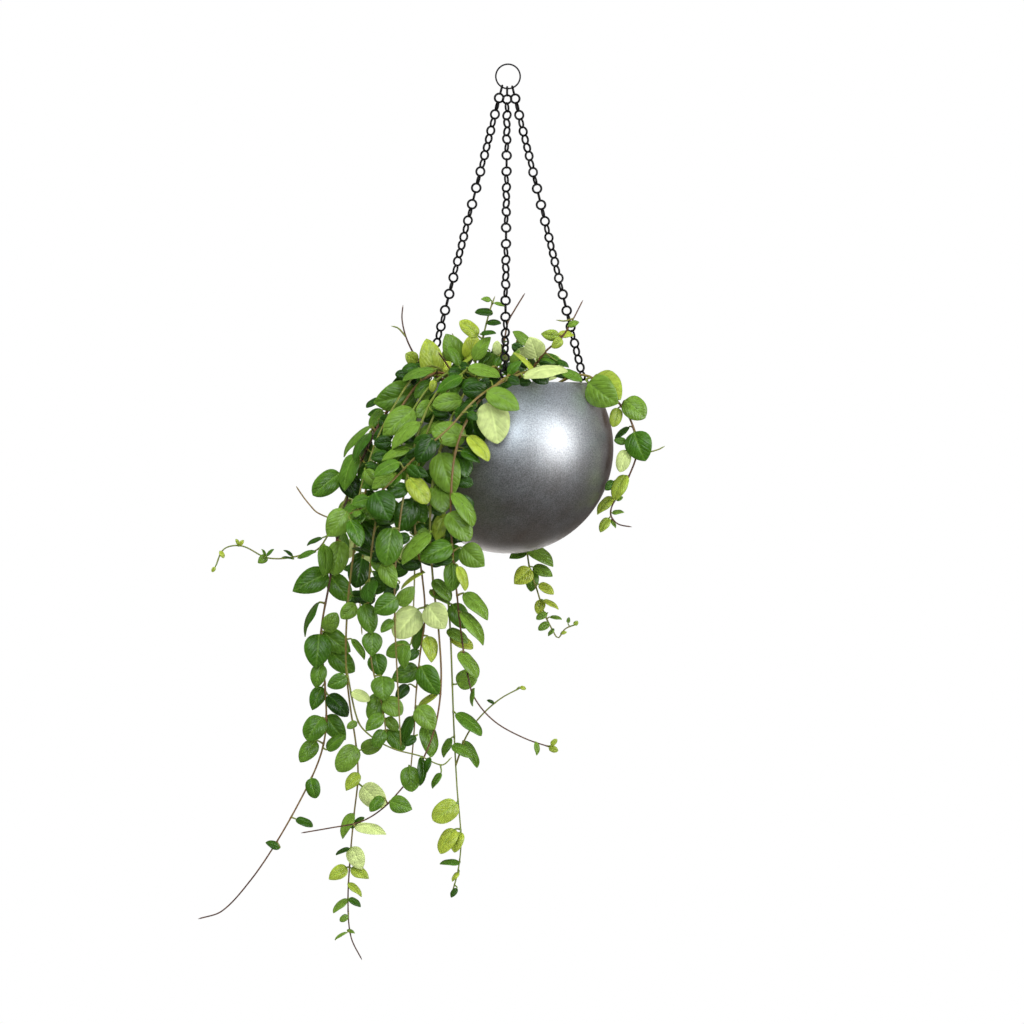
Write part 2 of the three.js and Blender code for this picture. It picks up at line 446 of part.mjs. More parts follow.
// All stems, with each vine's main stem before its shoots.
function growStems() {
  const stems = [];
  for (const vine of VINES) {
    const [x, y] = vine.root;
    const main = { ...vine, vine: vine.name, girth: 1 };
    const root = [-ROOT_DEPTH, -1, ROOT_RISE].map((height) => new THREE.Vector3(x, y, SOIL_TOP_Z + height));
    main.line = smoothLine([...root, ...asSeen(vine.route)]);
    stems.push(main);
    for (const shoot of vine.shoots ?? []) {
      const start = onLine(main.line, shoot.at * main.line.length).point;
      const side = { ...vine, ...shoot, vine: vine.name, girth: 0.7, isShoot: true };
      side.line = smoothLine([start, ...asSeen(shoot.route)]);
      stems.push(side);
    }
  }
  return stems;
}

// Where leaves can't be: the shell of the pot, the soil, the chains, stems and other leaves. A leaf is
// tried as an oval plate with an edge of points, the last of which is where it leaves its stem.
const FRONT = new THREE.Vector3(0, -1, 0);
const UP = new THREE.Vector3(0, 0, 1);
const PROBES = [[0.02, 0.06], [0.12, 0.6], [0.4, 1], [0.74, 0.7], [1, 0], [0.74, -0.7], [0.4, -1],
  [0.12, -0.6], [0.45, 0], [0.2, 0.3], [0.2, -0.3], [0.75, 0.1]];
const NECK = PROBES.length;
const PROBE_LINES = [[0, 1], [1, 2], [2, 3], [3, 4], [4, 5], [5, 6], [6, 7], [7, 0], [0, 8], [8, 4],
  [2, 6], [1, 5], [3, 7], [NECK, 0], [NECK, 1], [NECK, 7]];
const OVAL_MIDDLE = 0.44; // of the leaf's length
const OVAL_REACH = 0.57;
const DOME = 0.09; // how far a leaf's middle stands above its edge, as a share of its length

function leafPoint(leaf, u, v, w) {
  return leaf.base.clone().addScaledVector(leaf.along, u * leaf.length)
    .addScaledVector(leaf.across, (v * leaf.width) / 2).addScaledVector(leaf.face, w);
}

function domeAt(leaf, u, v) {
  return leaf.length * (DOME * 4 * u * (1 - u) * (1 - 0.75 * v * v) - leaf.curl * u * u);
}

function inOval(leaf, offset, margin) {
  const u = offset.dot(leaf.along) / (OVAL_REACH * leaf.length + margin);
  const v = offset.dot(leaf.across) / (leaf.width / 2 + margin);
  return u * u + v * v < 1;
}

function leafHits(leaf, other) {
  const reach = OVAL_REACH * (leaf.length + other.length) + 3 * LEAF_CLEARANCE;
  if (leaf.centre.distanceTo(other.centre) > reach) return false;
  const isPair = leaf.stem === other.stem && leaf.distance === other.distance;
  const offsets = leaf.probes.map((probe) => probe.clone().sub(other.centre));
  const heights = offsets.map((offset) => offset.dot(other.face));
  if (offsets.some((offset, i) => !(isPair && i === NECK) && Math.abs(heights[i]) < LEAF_CLEARANCE
    && inOval(other, offset, 1))) return true;
  return PROBE_LINES.some(([a, b]) => {
    if (heights[a] * heights[b] >= 0 || (isPair && a === NECK)) return false;
    const share = heights[a] / (heights[a] - heights[b]);
    return inOval(other, offsets[a].clone().lerp(offsets[b], share), 1);
  });
}

function hitsHolder(probe) {
  const fromCentre = Math.hypot(probe.x, probe.y, probe.z - GLOBE_CENTRE_Z);
  if (probe.z < RIM_Z + RIM_CLEARANCE && fromCentre < GLOBE_RADIUS + POT_CLEARANCE) return true;
  return chainRuns.some(({ onRing, along }) => {
    const offset = probe.clone().sub(onRing);
    return offset.addScaledVector(along, -offset.dot(along)).length() < CHAIN_CLEARANCE;
  });
}

function stemHits(leaf, stemSamples) {
  const reach = OVAL_REACH * leaf.length + STEM_CLEARANCE;
  return stemSamples.some(({ point, stem, distance }) => {
    if (stem === leaf.stem && Math.abs(distance - leaf.distance) < 8) return false;
    if (stem !== leaf.stem && point.distanceTo(leaf.base) < STEM_CLEARANCE + 1) return true;
    if (point.distanceTo(leaf.centre) > reach) return false;
    const offset = point.clone().sub(leaf.centre);
    return Math.abs(offset.dot(leaf.face)) < STEM_CLEARANCE && inOval(leaf, offset, STEM_RADIUS + 1);
  });
}

// One leaf as it would grow from a stem, turned about it by swing degrees and lifted by some more.
function leafAt(stem, distance, wish, swing, lift, scale) {
  const { point, along: stemAlong } = onLine(stem.line, distance);
  const outward = new THREE.Vector3(point.x, point.y, 0);
  if (outward.length() < 1) outward.copy(FRONT);
  const look = outward.normalize().addScaledVector(FRONT, stem.front).normalize();
  const sideways = new THREE.Vector3().crossVectors(stemAlong, look);
  if (sideways.length() < 0.2) sideways.crossVectors(stemAlong, UP);
  sideways.normalize();
  const frontwards = new THREE.Vector3().crossVectors(sideways, stemAlong).normalize();
  const angle = wish.angle + THREE.MathUtils.degToRad(swing);
  const away = sideways.multiplyScalar(Math.cos(angle))
    .addScaledVector(frontwards, 0.7 * Math.sin(angle)).normalize();
  const length = wish.length * scale;
  const along = away.clone().multiplyScalar(0.85).addScaledVector(stemAlong, 0.3)
    .addScaledVector(UP, -stem.droop * (0.75 + 0.5 * wish.droop)).addScaledVector(look, lift).normalize();
  const face = look.clone().multiplyScalar(0.9).addScaledVector(UP, 0.45);
  face.x += 0.75 * (wish.tilt[0] - 0.5);
  face.y += 0.75 * (wish.tilt[1] - 0.5);
  face.z += 0.75 * (wish.tilt[2] - 0.5);
  face.addScaledVector(along, -face.dot(along)).normalize();
  if (wish.turned) face.negate();
  const petiole = 2.2 + 0.09 * length;
  const base = point.clone().addScaledVector(away, stemRadius(stem, distance) + 0.65 * petiole)
    .addScaledVector(along, 0.5 * petiole);
  const width = length * wish.breadth;
  return finishLeaf({ stem, distance, away, along, face, base, length, width, curl: wish.curl });
}

function finishLeaf(leaf) {
  leaf.across = new THREE.Vector3().crossVectors(leaf.face, leaf.along);
  leaf.centre = leafPoint(leaf, OVAL_MIDDLE, 0, 0.5 * domeAt(leaf, 0.5, 0));
  leaf.probes = PROBES.map(([u, v]) => leafPoint(leaf, u, v, domeAt(leaf, u, v)));
  const { point } = onLine(leaf.stem.line, leaf.distance);
  leaf.probes.push(point.addScaledVector(leaf.away, stemRadius(leaf.stem, leaf.distance)));
  return leaf;
}

// The stem and the node nearest to a place of the view, the nearer to the viewer the better.
function nodeBelow(footX, footZ, stemSamples) {
  let best = null;
  for (const { point, stem, distance } of stemSamples) {
    const node = nodeAt(distance);
    const firstNode = stem.isShoot ? NODE_STEP : ROOT_DEPTH + ROOT_RISE + NODE_STEP;
    if (node < firstNode || node > stem.line.length - TIP_CONE - NODE_STEP / 2) continue;
    const foot = fromView(footX, point.y, footZ);
    const reach = point.distanceTo(foot);
    const cost = reach + 0.03 * point.y;
    if (reach < LONGEST_PETIOLE && !(best && best.cost < cost)) best = { cost, stem, distance: node, foot };
  }
  return best;
}

// A leaf of the view, as it would grow with its foot some way before its stem and its tip turned
// towards the viewer by a share of its length.
function frontLeafAt(node, reach, breadth, roll, forward, turn, scale) {
  const { stem, distance, foot } = node;
  const { point } = onLine(stem.line, distance);
  const aside = Math.hypot(foot.x - point.x, foot.z - point.z);
  const least = Math.sqrt(Math.max(0, SHORTEST_PETIOLE ** 2 - aside ** 2));
  const base = foot.clone().setY(point.y - Math.sign(forward) * Math.max(Math.abs(forward), least));
  const shown = reach.length();
  const whole = Math.max(shown, breadth / BROADEST);
  const along = reach.clone().addScaledVector(FRONT, Math.sqrt(whole ** 2 - shown ** 2) + turn * whole);
  const length = along.length() * scale;
  along.normalize();
  const width = Math.max(breadth, NARROWEST * whole) * scale;
  const face = FRONT.clone().addScaledVector(along, -FRONT.dot(along)).normalize();
  const edgeOn = Math.acos(Math.min(1, breadth / (NARROWEST * whole)));
  const upwards = new THREE.Vector3().crossVectors(along, face).dot(UP) > 0 ? 1 : -1;
  face.applyAxisAngle(along, upwards * edgeOn + roll);
  const away = base.clone().sub(point).normalize();
  return finishLeaf({ stem, distance, away, along, face, base, length, width, curl: 0.04 });
}

// Whether a place is in the thick of the plant, or out of the viewer's sight behind the pot.
function isCovered({ x, y, z }) {
  if (y > 0 && Math.hypot(x, z - GLOBE_CENTRE_Z) < GLOBE_RADIUS - 4) return true;
  const share = 1 - y / VIEWER.y;
  const seenX = VIEWER.x + (x - VIEWER.x) / share - VIEW_CORNER.x;
  const seenY = VIEW_CORNER.z - VIEWER.z - (z - VIEWER.z) / share;
  return THICKET.filter(([cornerX, cornerY], i) => {
    const [nextX, nextY] = THICKET[(i + 1) % THICKET.length];
    if (cornerY > seenY === nextY > seenY) return false;
    return seenX < cornerX + ((seenY - cornerY) / (nextY - cornerY)) * (nextX - cornerX);
  }).length % 2 === 1;
}

// Whether a leaf stands before those of the view with more of its points than they can spare.
function hidesSeen(leaf, seen) {
  let hiding = 0;
  for (const probe of leaf.probes.slice(0, NECK)) {
    const look = probe.clone().sub(VIEWER).normalize();
    for (const other of seen) {
      const depth = other.centre.clone().sub(probe).dot(other.face) / look.dot(other.face);
      const offset = probe.clone().addScaledVector(look, depth).sub(other.centre);
      if (depth > 0 && inOval(other, offset, 0)) hiding += 1;
    }
  }
  return hiding > SPARED_PROBES;
}

// How a leaf is tried until it has a free place: at each scale, each turn and forward place of a leaf of
// the view, and each swing and lift of any other.
const SCALES = [1, 0.85, 0.7];
const TURNS = [0.12, 0.35, -0.15, 0.6, -0.45, 0.9, -0.8, 1.2];
const FORWARDS = [1, 5, 9, -4, 13, -8, 18, -13, 24];
const TRIES = [[0, 0], [18, 0], [-18, 0], [0, 0.35], [34, 0.15], [-34, 0.15], [0, 0.8], [52, 0.3],
  [-52, 0.3], [20, 0.6], [-20, 0.6]];

// The places of all leaves: those of the view and then those that fill the thick of the plant. A leaf
// with no free place is left out.
function placeLeaves(stems, stemSamples) {
  const placed = [];
  placeSeenLeaves(placed, stemSamples);
  const seen = [...placed];
  stems.forEach((stem, index) => {
    fillStem(stem, drawsFrom(FIRST_SEED + 7919 * index), seen, placed, stemSamples);
  });
  return placed;
}

// The leaves of the view, the broadest first, with no more than one on each side of a node.
function placeSeenLeaves(placed, stemSamples) {
  const random = drawsFrom(FIRST_SEED);
  const fromBroadest = [...FRONT_LEAVES].sort((one, other) => other[4] - one[4]);
  for (const [footX, footY, tipX, tipY, breadth] of fromBroadest) {
    const node = nodeBelow(VIEW_CORNER.x + footX, VIEW_CORNER.z - footY, stemSamples);
    const reach = new THREE.Vector3(tipX - footX, 0, footY - tipY);
    const roll = FRONT_ROLL * (random() - 0.5);
    if (!node || placed.filter((leaf) => isAt(leaf, node)).length === STEM_SIDES) continue;
    const makers = SCALES.flatMap((scale) => TURNS.flatMap((turn) => FORWARDS.map((forward) => (
      () => frontLeafAt(node, reach, breadth, roll, forward, turn, scale)))));
    const free = firstFree(makers, placed, stemSamples);
    if (free) placed.push(free);
  }
}

function isAt(leaf, node) {
  return leaf.stem === node.stem && leaf.distance === node.distance;
}

// Pairs of leaves along a stem, each pair turned a quarter from the last, where none of the view are.
function fillStem(stem, random, seen, placed, stemSamples) {
  const taken = seen.filter((leaf) => leaf.stem === stem).map((leaf) => leaf.distance);
  const isBehind = (leaf) => leaf.probes.every(isCovered) && !hidesSeen(leaf, seen);
  const tipGap = stem.tipGap ?? TIP_GAP;
  for (let i = 0; i < 5; i += 1) random();
  let quarter = random();
  let along = stem.bare;
  while (along < stem.line.length - stem.tipBare) {
    const left = stem.line.length - stem.tipBare - along;
    const grown = Math.min(1, SMALLEST_SHARE + (1 - SMALLEST_SHARE) * (left / stem.taper));
    const distance = nodeAt(along);
    const isTaken = taken.some((other) => Math.abs(other - distance) < NEAR_SHARE * stem.gap * grown);
    for (const half of [0, 1]) {
      const wish = {
        angle: (quarter + half * 2 + 0.3 * (random() - 0.5)) * (Math.PI / 2),
        length: stem.leaf * grown * (0.86 + 0.28 * random()),
        breadth: 0.85 + 0.12 * random(),
        droop: random(),
        tilt: [random(), random(), random()],
        turned: random() < 0.1,
        curl: 0.02 + 0.1 * random(),
      };
      if (random() < LOST_LEAVES || isTaken) continue;
      const makers = SCALES.flatMap((scale) => TRIES.map(([swing, lift]) => (
        () => leafAt(stem, distance, wish, swing, lift, scale))));
      const free = firstFree(makers, placed, stemSamples, isBehind);
      if (free) placed.push(free);
    }
    quarter += 1;
    along += stem.gap * (tipGap + (1 - tipGap) * grown) * (0.88 + 0.24 * random());
  }
}

function firstFree(makers, placed, stemSamples, isAllowed = () => true) {
  for (const make of makers) {
    const leaf = make();
    if (leaf.probes.some(hitsHolder) || stemHits(leaf, stemSamples)) continue;
    if (!isAllowed(leaf)) continue;
    if (placed.some((other) => leafHits(leaf, other) || leafHits(other, leaf))) continue;
    return leaf;
  }
  return null;
}

// A stem's mesh, with each leaf grown out of one side of a short stretch of it. The ribs are the shares of
// a leaf's length where its edge has corners, each with the share of the half width there.
const WIDE_RIBS = [[0.15, 0.8], [0.58, 0.97]];
const SMALL_RIBS = [[0.4, 1]];
const NODE_STRETCH = 2.4; // of the stem, for one pair of leaves
const TIP_CONE = 3;
const LEAF_BASE = [[-0.1, -0.5], [0.1, -0.5], [0.1, 0.5], [-0.1, 0.5]]; // in half widths and thicknesses

function stemGeometry(stem, leaves) {
  const vertices = [];
  const triangles = [];
  const add = (point) => vertices.push(point.x, point.y, point.z) / 3 - 1;
  const pointOf = (i) => new THREE.Vector3(...vertices.slice(3 * i, 3 * i + 3));

  const nodes = [...new Set(leaves.map((leaf) => leaf.distance))].sort((one, other) => one - other);
  const stations = stem.isShoot ? [0] : [0, ROOT_DEPTH + ROOT_RISE - 1];
  for (const node of nodes) stations.push(node - NODE_STRETCH / 2, node + NODE_STRETCH / 2);
  stations.push(stem.line.length - TIP_CONE);
  for (let i = stations.length - 1; i > 0; i -= 1) {
    const [from, to] = [stations[i - 1], stations[i]];
    const extra = Math.floor((to - from) / LONGEST_STEM_STEP);
    for (let k = extra; k > 0; k -= 1) stations.splice(i, 0, from + ((to - from) * k) / (extra + 1));
  }

  const rings = [];
  let normal = new THREE.Vector3(1, 0.2, 0);
  for (const station of stations) {
    const { point, along } = onLine(stem.line, station);
    normal = normal.clone().projectOnPlane(along).normalize();
    const binormal = new THREE.Vector3().crossVectors(along, normal);
    const radius = stemRadius(stem, station);
    const corners = [-45, 45, 135, 225].map((degrees) => {
      const angle = THREE.MathUtils.degToRad(degrees);
      return add(point.clone().addScaledVector(normal, radius * Math.cos(angle))
        .addScaledVector(binormal, radius * Math.sin(angle)));
    });
    const sides = [normal, binormal, normal.clone().negate(), binormal.clone().negate()];
    rings.push({ station, corners, sides });
  }

  for (let i = 0; i + 1 < rings.length; i += 1) {
    const middle = (rings[i].station + rings[i + 1].station) / 2;
    const onSides = [null, null, null, null];
    for (const leaf of leaves.filter((one) => Math.abs(one.distance - middle) < 1e-6)) {
      const order = [0, 1, 2, 3].filter((side) => !onSides[side])
        .sort((a, b) => rings[i].sides[b].dot(leaf.away) - rings[i].sides[a].dot(leaf.away));
      onSides[order[0]] = leaf;
    }
    for (let side = 0; side < 4; side += 1) {
      const [here, ahead] = [rings[i].corners, rings[i + 1].corners];
      const next = (side + 1) % 4;
      const quad = [here[side], here[next], ahead[next], ahead[side]];
      if (onSides[side]) growLeaf(onSides[side], quad);
      else triangles.push(quad[0], quad[1], quad[2], quad[0], quad[2], quad[3]);
    }
  }
  const first = rings[0].corners;
  triangles.push(first[0], first[2], first[1], first[0], first[3], first[2]);
  const tip = add(onLine(stem.line, stem.line.length).point);
  const end = rings.at(-1).corners;
  for (let side = 0; side < 4; side += 1) triangles.push(end[side], end[(side + 1) % 4], tip);

  function growLeaf(leaf, root) {
    const ribs = leaf.length < SMALL_LEAF ? SMALL_RIBS : WIDE_RIBS;
    const outline = [...ribs.map(([u, v]) => [u, -v]), [1, 0], ...ribs.map(([u, v]) => [u, v]).reverse()];
    const base = LEAF_BASE.map(([v, w]) => leafPoint(leaf, 0, v, LEAF_THICKNESS * w));
    const turnedRoot = (shift) => [0, 1, 2, 3].map((k) => root[(k + shift) % 4]);
    const stretch = (shift) => turnedRoot(shift).reduce(
      (sum, corner, k) => sum + base[k].distanceToSquared(pointOf(corner)), 0);
    const shift = [0, 1, 2, 3].sort((one, other) => stretch(one) - stretch(other))[0];
    const [lowerRight, lowerLeft, upperLeft, upperRight] = turnedRoot(shift);
    const edge = (w) => outline.map(([u, v]) => add(leafPoint(leaf, u, v, domeAt(leaf, u, 0.8 * v) + w)));
    const upper = [upperRight, ...edge(LEAF_THICKNESS / 2), upperLeft];
    const lower = [lowerRight, ...edge(-LEAF_THICKNESS / 2), lowerLeft];
    const last = upper.length - 1;
    for (let i = 0; i < ribs.length; i += 1) {
      const [near, far, across, beside] = [i, i + 1, last - i - 1, last - i];
      triangles.push(upper[near], upper[far], upper[across], upper[near], upper[across], upper[beside]);
      triangles.push(lower[near], lower[across], lower[far], lower[near], lower[beside], lower[across]);
    }
    const tip = ribs.length + 1;
    triangles.push(upper[tip - 1], upper[tip], upper[tip + 1], lower[tip - 1], lower[tip + 1], lower[tip]);
    for (let i = 0; i < last; i += 1) {
      triangles.push(upper[i], lower[i], lower[i + 1], upper[i], lower[i + 1], upper[i + 1]);
    }
  }

  const geometry = new THREE.BufferGeometry();
  geometry.setAttribute('position', new THREE.BufferAttribute(new Float32Array(vertices), 3));
  geometry.setIndex(triangles);
  return geometry;
}

// The potting mix, with a plain hole for each stem. Its corners stand on every other corner of the shell.
function soilSolid(stems) {
  const wall = globeProfile(GLOBE_RADIUS - WALL - 2 * SEAT_GAP, GLOBE_STEPS, RIM_Z);
  const edgeZ = SOIL_TOP_Z - SOIL_MOUND;
  const above = wall.findIndex((point) => point.y > edgeZ);
  const share = (edgeZ - wall[above - 1].y) / (wall[above].y - wall[above - 1].y);
  const edge = wall[above - 1].clone().lerp(wall[above], share);
  const profile = wall.filter((point, i) => i % 2 === 0 && i < above);
  profile.push(edge, new THREE.Vector2(0.5 * edge.x, SOIL_TOP_Z), new THREE.Vector2(0, SOIL_TOP_Z));
  let soil = toSolid(lathed(profile, GLOBE_SIDES / 2));
  for (const stem of stems.filter((one) => !one.isShoot)) {
    const [x, y] = stem.root;
    const depth = ROOT_DEPTH + SEAT_GAP;
    const hole = new THREE.CylinderGeometry(ROOT_HOLE_RADIUS, ROOT_HOLE_RADIUS, 2 * depth, 4);
    soil = soil.subtract(toSolid(hole.rotateX(Math.PI / 2).translate(x, y, SOIL_TOP_Z)));
  }
  return soil;
}

const chainRuns = CHAINS.map(chainRun);
const stems = growStems();
const stemSamples = stems.flatMap((stem) => stem.line.samples.map((point, i) => (
  { point, stem, distance: stem.line.lengths[i] })));
const leaves = placeLeaves(stems, stemSamples);

const pottedVine = new THREE.Group();
function addPiece(name, geometry, material) {
  const piece = new THREE.Mesh(geometry, material);
  piece.name = name;
  pottedVine.add(piece);
}

addPiece('hanging_ring', ringGeometry(), blackWire);
for (const chain of CHAINS) addPiece(chain.name, toGeometry(chainSolid(chain)), blackWire);
addPiece('pot', toGeometry(potSolid()), metal);
addPiece('soil', toGeometry(soilSolid(stems)), pottingMix);
for (const vine of VINES) {
  const own = stems.filter((stem) => stem.vine === vine.name);
  const solids = own.map((stem) => {
    const ownLeaves = leaves.filter((leaf) => leaf.stem === stem);
    return toSolid(stemGeometry(stem, ownLeaves));
  });
  addPiece(vine.name, toGeometry(wasm.Manifold.union(solids)), greenLeaf);
}

export default pottedVine;
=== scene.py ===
"""A round metal pot that hangs by three link chains, with vines of round fleshy leaves over its left side."""
import math
from bisect import bisect_left

import bpy
import numpy as np
from bpy.props import FloatProperty, FloatVectorProperty, IntProperty, PointerProperty
from bpy.types import Operator, Panel, PropertyGroup
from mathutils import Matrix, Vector, noise


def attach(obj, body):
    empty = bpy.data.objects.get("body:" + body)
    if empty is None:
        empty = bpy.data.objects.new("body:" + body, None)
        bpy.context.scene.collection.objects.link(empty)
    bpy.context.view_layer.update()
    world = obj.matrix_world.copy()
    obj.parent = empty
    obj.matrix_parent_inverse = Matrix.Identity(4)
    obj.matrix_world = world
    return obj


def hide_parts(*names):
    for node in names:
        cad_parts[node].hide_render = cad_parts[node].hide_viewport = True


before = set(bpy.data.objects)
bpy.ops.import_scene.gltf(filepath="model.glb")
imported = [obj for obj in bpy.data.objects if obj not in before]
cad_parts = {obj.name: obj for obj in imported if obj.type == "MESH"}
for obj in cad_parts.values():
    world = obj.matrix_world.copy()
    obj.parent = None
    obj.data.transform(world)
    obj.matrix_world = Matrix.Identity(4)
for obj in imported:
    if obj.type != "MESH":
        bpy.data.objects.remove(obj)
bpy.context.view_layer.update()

bl_info = {
    "name": "Hanging pot of trailing vines",
    "version": (1, 0, 0),
    "blender": (4, 5, 0),
    "location": "View3D > Sidebar > Hanging pot",
    "description": "Builds a globe pot on three chains, filled with trailing vines",
    "category": "Add Mesh",
}

# All measures below are in millimetres, and the part's origin is the inside of the ring's top. They repeat
# the driving dimensions of the solid part, so that each fine piece stands where its solid stands.
# First the pot, the ring and the links.
MM = 0.001
GLOBE_RADIUS = 105.5
GLOBE_CENTRE_Z = -383
RIM_Z = -318
WALL = 1.5
RING_OUTER_RADIUS = 13
RING_WIRE_RADIUS = 0.8
LINK_WIRE_RADIUS = 0.7
LINK_COUNT = 37
LINK_SINK = 0.35
SEAT_GAP = 0.3
HOLE_RADIUS = 2.2
HOLE_DROP = 5.2
LAST_LINK_LIFT = 0.5
# name, compass of the hole, place on the ring and whole twist, in degrees
CHAINS = [("chain_front", -92, -4, 540), ("chain_right", 25, 22, 180), ("chain_left", 165, -30, -180)]

# The mix, the stems, and how clear of everything else a leaf stays.
SOIL_TOP_Z = -331
SOIL_MOUND = 5
ROOT_DEPTH = 12
ROOT_RISE = 5
STEM_RADIUS = 1.25
STEM_TIP_RADIUS = 0.6
LEAF_CLEARANCE = 2.2
STEM_CLEARANCE = 3.4
RIM_CLEARANCE = 2.5
POT_CLEARANCE = 2.2
CHAIN_CLEARANCE = 7.5
OWN_STEM_REACH = 8

# How leaves stand along a stem. A pair is the least value, and how far a draw may go above it.
SMALLEST_SHARE = 0.25
TIP_GAP = 0.35
TIP_CONE = 3
LOST_LEAVES = 0.1
NODE_STEP = 4
LONGEST_PETIOLE = 18
SHORTEST_PETIOLE = 3
BROADEST = 0.98
NARROWEST = 0.66
FRONT_ROLL = 0.5
NEAR_SHARE = 0.4
NODE_LEAVES = 4
SPARED_PROBES = 2
SHOWN_PROBES = 3
GAP_SHARES = (0.88, 0.24)
LENGTH_SHARES = (0.86, 0.28)
BREADTH_SHARES = (0.85, 0.12)
CURLS = (0.02, 0.1)
TURNED_SHARE = 0.1
SEEN_CURL = 0.04
STALK_LENGTH = 2.2
STALK_SHARE = 0.09

# The small dark leaves in the gaps, which paint the shade seen deep in the plant.
SMALL_STARTS = (21, 26)
SMALL_GAP = 10
SMALL_LENGTH = 19
SMALL_LENGTHS = (0.8, 0.5)
SMALL_BREADTHS = (0.6, 0.25)
SMALL_ASIDE = 14
FIRST_AIM, AIM_STEP, AIM_SPREAD = -160, 140, 50

# Each set of draws starts at its own seed. Stems have one for each kind of leaf, a stride apart.
FIRST_SEED = 20117
LEAF_STRIDE = 7919
SMALL_STRIDES = (104729, 15485863)
ALIKE_DRAWS = 5

# A leaf's oval about its middle, and how high it domes, as shares of its length.
OVAL_MIDDLE = 0.44
OVAL_REACH = 0.57
DOME = 0.09

